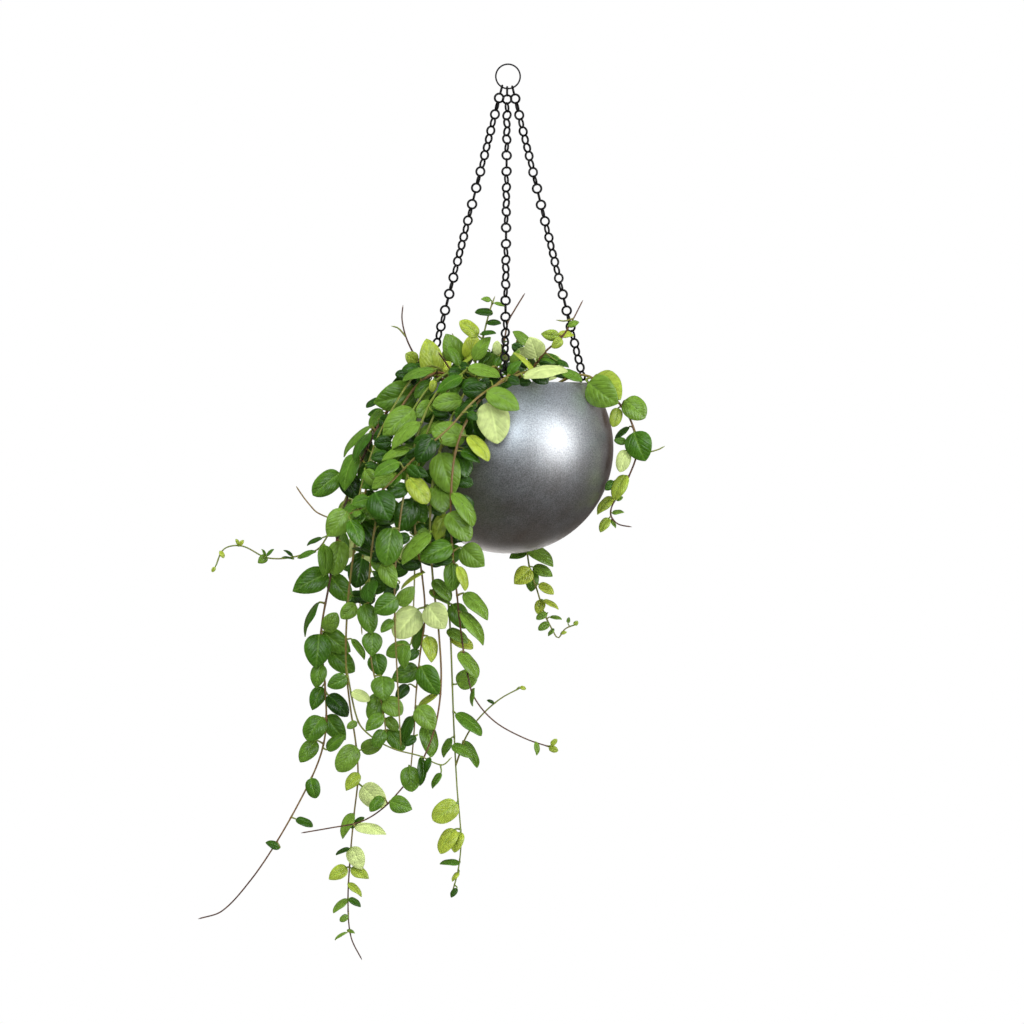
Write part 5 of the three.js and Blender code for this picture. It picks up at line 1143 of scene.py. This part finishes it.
def leaf_group():
    """The midrib, side veins, swellings between them, edge and mottling of a leaf."""
    group, nodes, given, out = start_group(
        "Leaf relief",
        [("Veins", "NodeSocketFloat", 6.0), ("Mottle Scale", "NodeSocketFloat", 260.0)],
        [(label, "NodeSocketFloat") for label in
         ("Midrib", "Veins", "Height", "Edge", "Mottle", "Seed")],
    )
    link = group.links.new
    leaf_map, extra = nodes.map_parts(LEAF_UV), nodes.map_parts(EXTRA_UV)
    u, edge, seed = leaf_map["X"], extra["X"], extra["Y"]
    side = nodes.math("ABSOLUTE", nodes.math("SUBTRACT", leaf_map["Y"], 0.5))
    side = nodes.math("MULTIPLY", side, 2.0)
    place = nodes.place()
    wobble = nodes.spread(nodes.noise(90.0, 2.0, 0.5, place), 0.0, 1.0, -0.035, 0.035)
    midrib = nodes.spread(side, 0.02, 0.1, 1.0, 0.0)
    midrib = nodes.math("MULTIPLY", midrib, nodes.spread(u, 0.6, 1.0, 1.0, 0.25))
    bend = nodes.math("MULTIPLY", nodes.math("POWER", side, 1.2), 0.62)
    course = nodes.math("ADD", nodes.math("SUBTRACT", u, bend), wobble)
    course = nodes.math("MULTIPLY", nodes.math("ADD", course, 1.0), given["Veins"])
    apart = nodes.math("ABSOLUTE", nodes.math("SUBTRACT", nodes.math("FRACT", course), 0.5))
    veins = nodes.spread(apart, 0.0, 0.11, 1.0, 0.0)
    fade = nodes.spread(edge, 0.7, 0.98, 1.0, 0.0)
    veins = nodes.math("MULTIPLY", veins, fade)
    swell = nodes.math("MULTIPLY", nodes.spread(apart, 0.0, 0.3), fade)
    height = nodes.math("SUBTRACT", swell, nodes.math("MULTIPLY", midrib, 0.8))
    mottle = nodes.noise(given["Mottle Scale"], 3.0, 0.45, place)
    for name, value in (("Midrib", midrib), ("Veins", veins), ("Height", height), ("Edge", edge),
                        ("Mottle", mottle), ("Seed", seed)):
        link(value, out.inputs[name])
    return group


def fill_group(nodes, group, inputs):
    node = nodes.add("ShaderNodeGroup", node_tree=group)
    for name, value in inputs.items():
        node.inputs[name].default_value = value
    return node


def finish_shader(nodes, shader, tint, roughness, height, strength, distance):
    """Joins a tint, a roughness and a relief to a material's shader."""
    made = nodes.add("ShaderNodeBump", {"Height": height, "Strength": strength, "Distance": distance})
    for name, output in (("Base Color", tint), ("Roughness", roughness), ("Normal", made.outputs[0])):
        nodes.tree.links.new(output, shader.inputs[name])


def speckle(nodes, tint, speck, low, least, most):
    """A tint that is darker and lighter with the specks of a pattern, from low up to 0.7 of it."""
    return nodes.mix(1.0, tint, nodes.spread(speck, low, 0.7, least, most), blend="MULTIPLY")


def wire_material(colour, group):
    """Blackened steel wire with a dull gloss and lighter rubbed spots."""
    material, nodes, shader = start_material("blackened_wire", Metallic=0.3, Specular_IOR_Level=0.35)
    grain = fill_group(nodes, group, {"Grain Scale": 2500.0, "Blotch Scale": 260.0}).outputs
    rubbed = nodes.spread(grain["Blotches"], 0.5, 0.72)
    lighter = tuple(min(1, 2 * part + 0.002) for part in colour[:3])
    tint = nodes.mix(rubbed, (*colour[:3], 1), (*lighter, 1))
    rough = nodes.spread(grain["Grain"], 0.3, 0.7, 0.38, 0.55)
    finish_shader(nodes, shader, tint, rough, grain["Grain"], 0.15, 0.0002)
    return material


def pot_material(upper, lower, group):
    """Satin gunmetal that is blue grey above and turns browner and grainier below, darker towards the bottom
    as painted shade.
    """
    material, nodes, shader = start_material("gunmetal_shell", Metallic=0.85)
    grain = fill_group(nodes, group, {"Grain Scale": 800.0, "Blotch Scale": 38.0}).outputs
    height = nodes.add("ShaderNodeSeparateXYZ", {0: nodes.place()}).outputs["Z"]
    # The share of the lower colour grows towards the bottom: painted shade where less light reaches the
    # shell.
    low = nodes.spread(height, RIM_Z * MM, (GLOBE_CENTRE_Z - GLOBE_RADIUS) * MM)
    low = nodes.math("ADD", low, nodes.spread(grain["Blotches"], 0.3, 0.7, -0.12, 0.12), clamp=True)
    tint = nodes.mix(low, (*upper[:3], 1), (*lower[:3], 1))
    tint = speckle(nodes, tint, grain["Grain"], 0.35, 0.68, 1.28)
    rough = nodes.math("ADD", nodes.spread(low, 0.0, 1.0, 0.42, 0.46),
                       nodes.spread(grain["Grain"], 0.3, 0.7, -0.05, 0.07))
    finish_shader(nodes, shader, tint, rough, grain["Grain"], 0.12, 0.0003)
    return material


def soil_material(dark, light, group):
    """Crumbly potting mix with pale fibres."""
    material, nodes, shader = start_material("potting_mix")
    grain = fill_group(nodes, group, {"Grain Scale": 800.0, "Blotch Scale": 130.0}).outputs
    tint = nodes.mix(nodes.spread(grain["Blotches"], 0.35, 0.65), (*dark[:3], 1), (*light[:3], 1))
    fibre = nodes.spread(grain["Grain"], 0.66, 0.72)
    tint = nodes.mix(fibre, tint, (*linear(150, 120, 86), 1))
    rough = nodes.spread(grain["Grain"], 0.3, 0.7, 0.8, 0.97)
    finish_shader(nodes, shader, tint, rough, grain["Grain"], 0.9, 0.001)
    return material


def stem_material(group):
    """A stem from green through tan to dark brown, with fine bark specks."""
    material, nodes, shader = start_material("stem_skin", Coat_Weight=0.08, Coat_Roughness=0.3)
    grain = fill_group(nodes, group, {"Grain Scale": 1500.0, "Blotch Scale": 220.0}).outputs
    blotches = nodes.spread(grain["Blotches"], 0.3, 0.7, -0.1, 0.1)
    wood = nodes.math("ADD", nodes.map_parts(EXTRA_UV)["X"], blotches, clamp=True)
    tint = nodes.ramp(wood, [
        (0.0, linear(104, 132, 40)), (0.3, linear(118, 116, 48)), (0.5, linear(116, 86, 46)),
        (0.75, linear(78, 46, 30)), (1.0, linear(38, 28, 22)),
    ])
    tint = speckle(nodes, tint, grain["Grain"], 0.35, 0.78, 1.12)
    rough = nodes.spread(grain["Grain"], 0.3, 0.7, 0.42, 0.62)
    finish_shader(nodes, shader, tint, rough, grain["Grain"], 0.3, 0.0004)
    return material


def leaf_material(name, colour, fresh, group, gloss, under=False):
    """A fleshy leaf's upper side or underside, with its veins, edge and mottling."""
    material, nodes, shader = start_material(
        name, Coat_Weight=0.03 if under else gloss, Coat_Roughness=0.2, Specular_IOR_Level=0.26)
    relief = fill_group(nodes, group, {"Veins": 5.5, "Mottle Scale": 190.0}).outputs
    tint = nodes.mix(nodes.spread(relief["Seed"], 0.0, 1.0, 0.0, 0.6), (*colour[:3], 1), (*fresh[:3], 1))
    tint = speckle(nodes, tint, relief["Mottle"], 0.3, 0.78, 1.16)
    paler = tuple(min(1, 1.4 * part + 0.012) for part in fresh[:3])
    vein_share = nodes.math("MAXIMUM", nodes.math("MULTIPLY", relief["Midrib"], 0.6 if under else 0.42),
                            nodes.math("MULTIPLY", relief["Veins"], 0.2 if under else 0.14))
    tint = nodes.mix(vein_share, tint, (*paler, 1))
    tint = nodes.mix(nodes.spread(relief["Edge"], 0.95, 1.0, 0.0, 0.4), tint, (*paler, 1))
    least, most = (0.5, 0.6) if under else (0.24, 0.38)
    rough = nodes.spread(relief["Mottle"], 0.3, 0.7, least, most)
    finish_shader(nodes, shader, tint, rough, relief["Height"], 0.45, 0.0007)
    return material


# name, place in metres, width and height, share of the light's power, colour, and whether metal mirrors it
LIGHTS = [
    ("light_key", (2.3, -1.6, -0.08), 1.7, 1.7, 1.12, (1, 1, 1), True),
    ("light_front", (0.1, -3.0, 0.6), 2.2, 1.3, 0.8, (0.88, 0.95, 1.0), True),
    ("light_top", (-0.6, -0.9, 2.0), 1.4, 1.4, 1.15, (1, 1, 1), False),
    ("light_left", (-2.6, -0.2, 0.3), 1.4, 1.4, 0.5, (1, 1, 1), False),
    ("light_back", (0.4, 2.8, 0.5), 1.6, 1.6, 0.8, (1, 1, 1), False),
    ("light_low", (-0.2, 1.5, -1.1), 1.1, 0.5, 0.1, (1, 1, 1), True),
]
SENSOR_WIDTH, LENS = 36, 281.25
FLOOR_Z, FLOOR_REACH, FLOOR_ROWS = -1300, 1300, 27
SHELL_SIDES, SHELL_STEPS, LIP_STEPS = 160, 56, 8
# The share of hidden leaves that get the darkest tone, the rest the next; both are partly painted shade
# inside the plant.
SHADED_OLD_SHARE = 0.45


def length_property(name, description, millimetres, least, most):
    return FloatProperty(name=name, description=description, default=millimetres * MM, min=least * MM,
                         max=most * MM, unit="LENGTH", subtype="DISTANCE", precision=5)


def colour_property(name, description, *colour):
    return FloatVectorProperty(name=name, description=description, default=linear(*colour), size=3,
                               min=0, max=1, subtype="COLOR")


class HangerSettings(PropertyGroup):
    """The ring and the three chains."""

    wire_radius: length_property("Link wire radius", "Half the thickness of the links' wire", 1.1, 0.5, 1.2)
    wire_colour: colour_property("Wire colour", "Colour of the ring and the chains", 9, 8, 9)


class PotSettings(PropertyGroup):
    """The round metal pot and its potting mix."""

    upper_colour: colour_property("Upper metal", "Colour of the shell below its rim", 180, 186, 192)
    # The lower colour is darker than the upper one as painted shade under the shell.
    lower_shaded_colour: colour_property("Lower metal", "Colour of the shell's underside", 114, 106, 100)
    soil_dark: colour_property("Damp mix", "Darker colour of the potting mix", 34, 25, 19)
    soil_light: colour_property("Dry mix", "Lighter colour of the potting mix", 78, 58, 42)
    crumbs: IntProperty(name="Crumbs", description="How many loose crumbs lie on the mix", default=220,
                        min=0, max=600)


class LeafSettings(PropertyGroup):
    """The leaves and stems."""

    leaf_thickness: length_property("Leaf thickness", "Thickness of a leaf at its midrib", 1.1, 0.5, 2)
    groove_depth: length_property("Midrib groove", "How deep a leaf's midrib lies", 0.5, 0, 1)
    gloss: FloatProperty(name="Gloss", description="How waxy the leaves' upper sides are", default=0.14,
                         min=0, max=1, subtype="FACTOR")
    # These colours are partly the leaves' own and partly painted light and shade: the darkest go to shaded
    # leaves, the bright and pale ones to lit leaves, in place of light shining through them.
    dark_colour: colour_property("Old leaves", "Colour of the darkest leaves", 24, 54, 2)
    mid_colour: colour_property("Grown leaves", "Colour of the common leaves", 56, 96, 14)
    bright_colour: colour_property("Fresh leaves", "Colour of the bright leaves", 96, 128, 40)
    pale_colour: colour_property("Pale leaves", "Colour of the youngest leaves", 160, 174, 58)
    under_colour: colour_property("Undersides", "Colour of the leaves' undersides", 176, 190, 120)


class StudioSettings(PropertyGroup):
    """The floor, the lights and the camera."""

    floor_colour: colour_property("Floor colour", "Colour of the plain floor", 236, 235, 232)
    light_power: FloatProperty(name="Light power", description="Strength of the main soft light", default=60,
                               min=0, max=400, unit="POWER")
    surround: FloatProperty(name="Surround", description="Strength of the even light from all sides",
                            default=0.34, min=0, max=2, subtype="FACTOR")


class HANGING_OT_hanger(Operator):
    """Adds the ring and its three chains of round links"""

    bl_idname = "hanging.add_hanger"
    bl_label = "Ring and chains"

    def execute(self, context):
        settings = context.scene.hanger
        wire = wire_material(settings.wire_colour, shared_group("Grain and blotches", grain_group))
        ring = Shape()
        centre = np.array([0, 0, -(RING_OUTER_RADIUS - 2 * RING_WIRE_RADIUS)])
        right = np.array([1.0, 0, 0])
        ring.add(*torus(centre, right, UP, RING_OUTER_RADIUS - RING_WIRE_RADIUS, RING_WIRE_RADIUS, 96, 14), 0)
        finish_piece(ring.make("hanging_ring_wire", [wire]), "chain_metal", "hanging_ring")
        for name, compass, ring_angle, twist in CHAINS:
            run = chain_run(compass, ring_angle)
            chain = Shape()
            for centre, right, forward, loop_radius in chain_links(run, compass, twist):
                wire_radius = settings.wire_radius / MM
                reach = loop_radius + LINK_WIRE_RADIUS - wire_radius
                chain.add(*torus(centre, right, forward, reach, wire_radius, 26, 8), 0)
            finish_piece(chain.make(name + "_links", [wire]), "chain_metal", name)
        return {"FINISHED"}


def chain_links(run, compass, twist):
    """Each link's middle, the two directions of its plane and its loop's radius."""
    along = run["along"]
    shared = 2 * LINK_WIRE_RADIUS - LINK_SINK
    loop_radius = (size(run["end"] - run["start"]) + (LINK_COUNT - 1) * shared) / (2 * LINK_COUNT)
    pitch = 2 * loop_radius - shared
    first = np.array([0.0, 1.0, 0.0])
    first = unit(first - along * (first @ along))
    last = outwards(compass)
    last = unit(last - along * (last @ along))
    turn = math.atan2(cross(first, last) @ along, first @ last) + math.radians(twist)
    for i in range(LINK_COUNT):
        angle = i * math.pi / 2 + turn * i / (LINK_COUNT - 1)
        right = first * math.cos(angle) + cross(along, first) * math.sin(angle)
        yield run["start"] + along * (loop_radius + i * pitch), right, along, loop_radius


def finish_piece(piece, slot, *nodes):
    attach(piece, "root")
    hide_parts(*nodes)


def shared_group(name, build):
    return bpy.data.node_groups.get(name) or build()


class HANGING_OT_pot(Operator):
    """Adds the round shell with its rolled lip and three drilled holes"""

    bl_idname = "hanging.add_pot"
    bl_label = "Pot"

    def execute(self, context):
        settings = context.scene.pot
        group = shared_group("Grain and blotches", grain_group)
        metal = pot_material(settings.upper_colour, settings.lower_shaded_colour, group)
        shell = Shape()
        shell.add(*lathe(shell_profile(), SHELL_SIDES), 0)
        piece = shell.make("pot_shell", [metal])
        for name, compass, ring_angle, twist in CHAINS:
            drill(piece, chain_run(compass, ring_angle)["at_hole"])
        finish_piece(piece, "pot_metal", "pot")
        return {"FINISHED"}


def shell_profile():
    """Reach and height of the shell's section, from the outside bottom round its lip to the inside bottom."""
    inner_radius = GLOBE_RADIUS - WALL
    outer_top = math.acos((RIM_Z - WALL / 2 - GLOBE_CENTRE_Z) / GLOBE_RADIUS)
    inner_top = math.acos((RIM_Z - WALL / 2 - GLOBE_CENTRE_Z) / inner_radius)
    profile = []
    for i in range(SHELL_STEPS + 1):
        angle = math.pi - (math.pi - outer_top) * i / SHELL_STEPS
        profile.append((GLOBE_RADIUS * math.sin(angle), GLOBE_CENTRE_Z + GLOBE_RADIUS * math.cos(angle)))
    outer_reach, inner_reach = GLOBE_RADIUS * math.sin(outer_top), inner_radius * math.sin(inner_top)
    centre_reach = (outer_reach + inner_reach) / 2
    half = (outer_reach - inner_reach) / 2
    for i in range(1, LIP_STEPS):
        angle = math.pi * i / LIP_STEPS
        height = RIM_Z - WALL / 2 + WALL / 2 * math.sin(angle)
        profile.append((centre_reach + half * math.cos(angle), height))
    for i in range(SHELL_STEPS + 1):
        angle = inner_top + (math.pi - inner_top) * i / SHELL_STEPS
        profile.append((inner_radius * math.sin(angle), GLOBE_CENTRE_Z + inner_radius * math.cos(angle)))
    profile[0] = (0.0, profile[0][1])
    profile[-1] = (0.0, profile[-1][1])
    return profile


def lathe(profile, sides):
    """The points and faces of a section turned about the Z axis, with one point where it meets it."""
    angles = np.arange(sides) * (2 * math.pi / sides)
    inner = profile[1:-1]
    points = [np.array([[0, 0, profile[0][1]], [0, 0, profile[-1][1]]])]
    for reach, height in inner:
        ring = [reach * np.cos(angles), reach * np.sin(angles), np.full(sides, height)]
        points.append(np.column_stack(ring))
    faces = grid_faces(len(inner), sides, start=2, closed=True, flipped=True)
    end = 2 + (len(inner) - 1) * sides
    for i in range(sides):
        following = (i + 1) % sides
        faces.append([0, 2 + following, 2 + i])
        faces.append([1, end + i, end + following])
    return np.vstack(points), faces


def drill(piece, place):
    """Cuts a round hole through the shell at a place on its wall."""
    normal = Vector(place - np.array([0, 0, GLOBE_CENTRE_Z])).normalized()
    shape = Shape()
    start = place - np.array(normal) * 4 * WALL
    end = place + np.array(normal) * 4 * WALL
    points = np.linspace(start, end, 2)
    shape.add(*tube(points, [HOLE_RADIUS, HOLE_RADIUS], 24), 0)
    cutter = shape.make("hole_cutter", [])
    cut = piece.modifiers.new("hole", "BOOLEAN")
    cut.operation = "DIFFERENCE"
    cut.solver = "EXACT"
    cut.object = cutter
    evaluated = piece.evaluated_get(bpy.context.evaluated_depsgraph_get())
    mesh = bpy.data.meshes.new_from_object(evaluated)
    piece.modifiers.clear()
    old = piece.data
    piece.data = mesh
    bpy.data.meshes.remove(old)
    bpy.data.objects.remove(cutter)


class HANGING_OT_soil(Operator):
    """Adds the mound of potting mix with loose crumbs"""

    bl_idname = "hanging.add_soil"
    bl_label = "Potting mix"

    def execute(self, context):
        settings = context.scene.pot
        group = shared_group("Grain and blotches", grain_group)
        mix = soil_material(settings.soil_dark, settings.soil_light, group)
        draws = draws_from(FIRST_SEED + 1)
        shape = Shape()
        wall = GLOBE_RADIUS - WALL - 0.4
        edge_z = SOIL_TOP_Z - SOIL_MOUND
        edge = math.sqrt(wall**2 - (edge_z - GLOBE_CENTRE_Z) ** 2)
        profile = []
        for i in range(13):
            angle = math.pi - (math.pi - math.acos((edge_z - GLOBE_CENTRE_Z) / wall)) * i / 12
            profile.append((wall * math.sin(angle), GLOBE_CENTRE_Z + wall * math.cos(angle)))
        for i in range(1, 41):
            share = i / 40
            reach = edge * (1 - share)
            profile.append((reach, edge_z + SOIL_MOUND * min(1, 2 * share)))
        profile[0] = (0.0, profile[0][1])
        points, faces = lathe(profile, 96)
        top = points[:, 2] > edge_z + 0.05
        rough = np.array([noise.noise(Vector(point * 0.16)) + 0.6 * noise.noise(Vector(point * 0.5))
                          for point in points])
        points[:, 2] += np.where(top, 1.6 * rough - 0.6, 0)
        shape.add(points, faces, 0)
        for _ in range(settings.crumbs):
            angle, reach = 2 * math.pi * next(draws), 0.93 * edge * math.sqrt(next(draws))
            height = edge_z + SOIL_MOUND * min(1, 2 * (1 - reach / edge))
            radius = 0.7 + 1.6 * next(draws) ** 3
            centre = np.array([reach * math.cos(angle), reach * math.sin(angle), height + 0.2 * radius])
            shape.add(*crumb(centre, radius, draws), 0)
        finish_piece(shape.make("potting_mix_mound", [mix]), "potting_mix", "soil")
        return {"FINISHED"}


def crumb(centre, radius, draws):
    """A lump of eight uneven corners, each pushed in or out."""
    corners = [(x, y, z) for x in (-1, 1) for y in (-1, 1) for z in (-1, 1)]
    points = [centre + radius * (0.45 + 0.3 * next(draws)) * np.array(corner) for corner in corners]
    faces = [[0, 1, 3, 2], [4, 6, 7, 5], [0, 4, 5, 1], [2, 3, 7, 6], [0, 2, 6, 4], [1, 5, 7, 3]]
    return np.array(points), faces


class HANGING_OT_vines(Operator):
    """Adds every vine and shoot, with its stem, leaf stalks and leaves"""

    bl_idname = "hanging.add_vines"
    bl_label = "Vines and shoots"

    def execute(self, context):
        settings = context.scene.leaves
        grain = shared_group("Grain and blotches", grain_group)
        relief = shared_group("Leaf relief", leaf_group)
        # Lit and shaded copies of the leaf material: each tone is partly a leaf's own colour and partly
        # painted light and shade.
        tones = [
            ("leaf_old", settings.dark_colour, settings.mid_colour),
            ("leaf_grown", settings.mid_colour, settings.bright_colour),
            ("leaf_fresh", settings.bright_colour, settings.bright_colour),
            ("leaf_young", settings.pale_colour, settings.bright_colour),
        ]
        materials = [leaf_material(*tone, relief, settings.gloss) for tone in tones]
        materials.append(leaf_material("leaf_underside", settings.under_colour, settings.under_colour, relief,
                                       settings.gloss, under=True))
        materials.append(stem_material(grain))
        under, bark = len(tones), len(tones) + 1
        stems = grow_stems()
        runs = [chain_run(compass, ring_angle) for name, compass, ring_angle, twist in CHAINS]
        leaves = place_leaves(stems, runs)
        draws = draws_from(FIRST_SEED + 2)
        for vine in VINES:
            shape = Shape()
            for stem in (stem for stem in stems if stem.vine == vine["name"]):
                own = [leaf for leaf in leaves if leaf.stem is stem]
                add_stem(shape, stem, own, bark)
                for leaf in own:
                    tone = leaf.tone
                    # A hidden leaf gets one of the two darker tones, partly painted shade inside the plant.
                    if tone is None:
                        tone = 0 if next(draws) < SHADED_OLD_SHARE else 1
                    add_stalk(shape, leaf, bark)
                    sides = (tone, under) if tone < under else (under, 1)
                    add_blade(shape, leaf, settings, next(draws), sides)
            finish_piece(shape.make(vine["name"] + "_foliage", materials), "foliage", vine["name"])
        return {"FINISHED"}


class HANGING_OT_studio(Operator):
    """Adds the pale floor, the soft lights and the camera"""

    bl_idname = "hanging.add_studio"
    bl_label = "Studio"

    def execute(self, context):
        settings = context.scene.studio
        scene = context.scene
        scene.view_settings.view_transform = "Standard"
        add_floor(settings)
        add_surround(scene, settings)
        for name, place, width, height, share, colour, is_mirrored in LIGHTS:
            add_softbox(name, place, width, height, share * settings.light_power, colour, is_mirrored)
        data = bpy.data.cameras.new("camera")
        data.sensor_width = SENSOR_WIDTH
        data.lens = LENS
        camera = bpy.data.objects.new("camera", data)
        camera.location = VIEWER * MM
        camera.rotation_euler = (math.radians(90), 0, 0)
        context.collection.objects.link(camera)
        scene.camera = camera
        return {"FINISHED"}


def add_floor(settings):
    shape = Shape()
    rows = np.linspace(-FLOOR_REACH, FLOOR_REACH, FLOOR_ROWS)
    points = np.array([(x, y, FLOOR_Z) for x in rows for y in rows])
    shape.add(points, grid_faces(FLOOR_ROWS, FLOOR_ROWS), 0)
    material, nodes, shader = start_material("pale_floor")
    grain = nodes.noise(14.0, 4.0, 0.5, nodes.place())
    colour = (*settings.floor_colour, 1)
    shade = (*(0.93 * part for part in settings.floor_colour), 1)
    nodes.tree.links.new(nodes.mix(grain, colour, shade), shader.inputs["Base Color"])
    nodes.tree.links.new(nodes.spread(grain, 0.0, 1.0, 0.6, 0.8), shader.inputs["Roughness"])
    floor = shape.make("studio_floor", [material])
    floor.visible_glossy = False


def add_surround(scene, settings):
    """White where the camera sees it, and a soft even light on the object."""
    world = scene.world or bpy.data.worlds.new("studio")
    scene.world = world
    world.use_nodes = True
    nodes = Nodes(world.node_tree)
    world.node_tree.nodes.clear()
    direction = nodes.add("ShaderNodeSeparateXYZ", {0: nodes.add("ShaderNodeTexCoord").outputs["Generated"]})
    height = nodes.spread(direction.outputs["Z"], -1.0, 1.0)
    front = nodes.ramp(height, [
        (0.0, linear(84, 80, 78)), (0.35, linear(124, 122, 120)), (0.5, linear(186, 190, 196)),
        (0.75, linear(206, 210, 216)), (1.0, linear(226, 226, 226)),
    ])
    back = nodes.ramp(height, [
        (0.0, linear(255, 250, 244)), (0.3, linear(255, 250, 244)), (0.5, linear(206, 176, 152)),
        (1.0, linear(226, 226, 226)),
    ])
    side = nodes.ramp(height, [
        (0.0, linear(130, 124, 120)), (0.25, linear(36, 33, 32)), (0.45, linear(120, 72, 48)),
        (0.55, linear(190, 140, 108)), (1.0, linear(226, 226, 226)),
    ])
    back = nodes.mix(nodes.spread(direction.outputs["X"], 0.15, 0.55), back, side)
    tint = nodes.mix(nodes.spread(direction.outputs["Y"], -0.1, 0.55), front, back)
    soft = nodes.add("ShaderNodeBackground", {"Color": tint, "Strength": settings.surround})
    seen = nodes.add("ShaderNodeBackground", {"Color": (1, 1, 1, 1), "Strength": 1.0})
    is_seen = nodes.add("ShaderNodeLightPath").outputs["Is Camera Ray"]
    mixed = nodes.add("ShaderNodeMixShader", {0: is_seen, 1: soft.outputs[0], 2: seen.outputs[0]})
    nodes.add("ShaderNodeOutputWorld", {"Surface": mixed.outputs[0]})


def add_softbox(name, place, width, height, power, colour, is_mirrored):
    """A soft light that faces the pot, and that the metal mirrors or doesn't."""
    data = bpy.data.lights.new(name, "AREA")
    data.color = colour
    data.shape = "RECTANGLE"
    data.size, data.size_y = width, height
    data.energy = power
    lamp = bpy.data.objects.new(name, data)
    lamp.location = place
    lamp.visible_camera = False
    lamp.visible_glossy = is_mirrored
    target = Vector((0, 0, GLOBE_CENTRE_Z * MM))
    lamp.rotation_euler = (target - lamp.location).to_track_quat("-Z", "Y").to_euler()
    bpy.context.collection.objects.link(lamp)


class HANGING_PT_panel(Panel):
    """Lists the pieces and their sizes and colours"""

    bl_idname = "HANGING_PT_panel"
    bl_label = "Hanging pot"
    bl_space_type = "VIEW_3D"
    bl_region_type = "UI"
    bl_category = "Hanging pot"

    def draw(self, context):
        for label, group, operators in PANEL_ROWS:
            box = self.layout.box()
            box.label(text=label)
            settings = getattr(context.scene, group)
            for name in settings.__annotations__:
                box.prop(settings, name)
            for operator in operators:
                box.operator(operator.bl_idname)


PANEL_ROWS = [
    ("Hanger", "hanger", [HANGING_OT_hanger]),
    ("Pot", "pot", [HANGING_OT_pot, HANGING_OT_soil]),
    ("Plant", "leaves", [HANGING_OT_vines]),
    ("Studio", "studio", [HANGING_OT_studio]),
]
SETTINGS = {
    "hanger": HangerSettings, "pot": PotSettings, "leaves": LeafSettings, "studio": StudioSettings,
}
CLASSES = [
    HangerSettings, PotSettings, LeafSettings, StudioSettings, HANGING_OT_hanger, HANGING_OT_pot,
    HANGING_OT_soil, HANGING_OT_vines, HANGING_OT_studio, HANGING_PT_panel,
]


def register():
    for kind in CLASSES:
        bpy.utils.register_class(kind)
    for name, kind in SETTINGS.items():
        setattr(bpy.types.Scene, name, PointerProperty(type=kind))


def unregister():
    for name in SETTINGS:
        delattr(bpy.types.Scene, name)
    for kind in reversed(CLASSES):
        bpy.utils.unregister_class(kind)


def main():
    register()
    bpy.ops.hanging.add_hanger()
    bpy.ops.hanging.add_pot()
    bpy.ops.hanging.add_soil()
    bpy.ops.hanging.add_vines()
    bpy.ops.hanging.add_studio()
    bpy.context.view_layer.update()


if __name__ == "__main__":
    main()
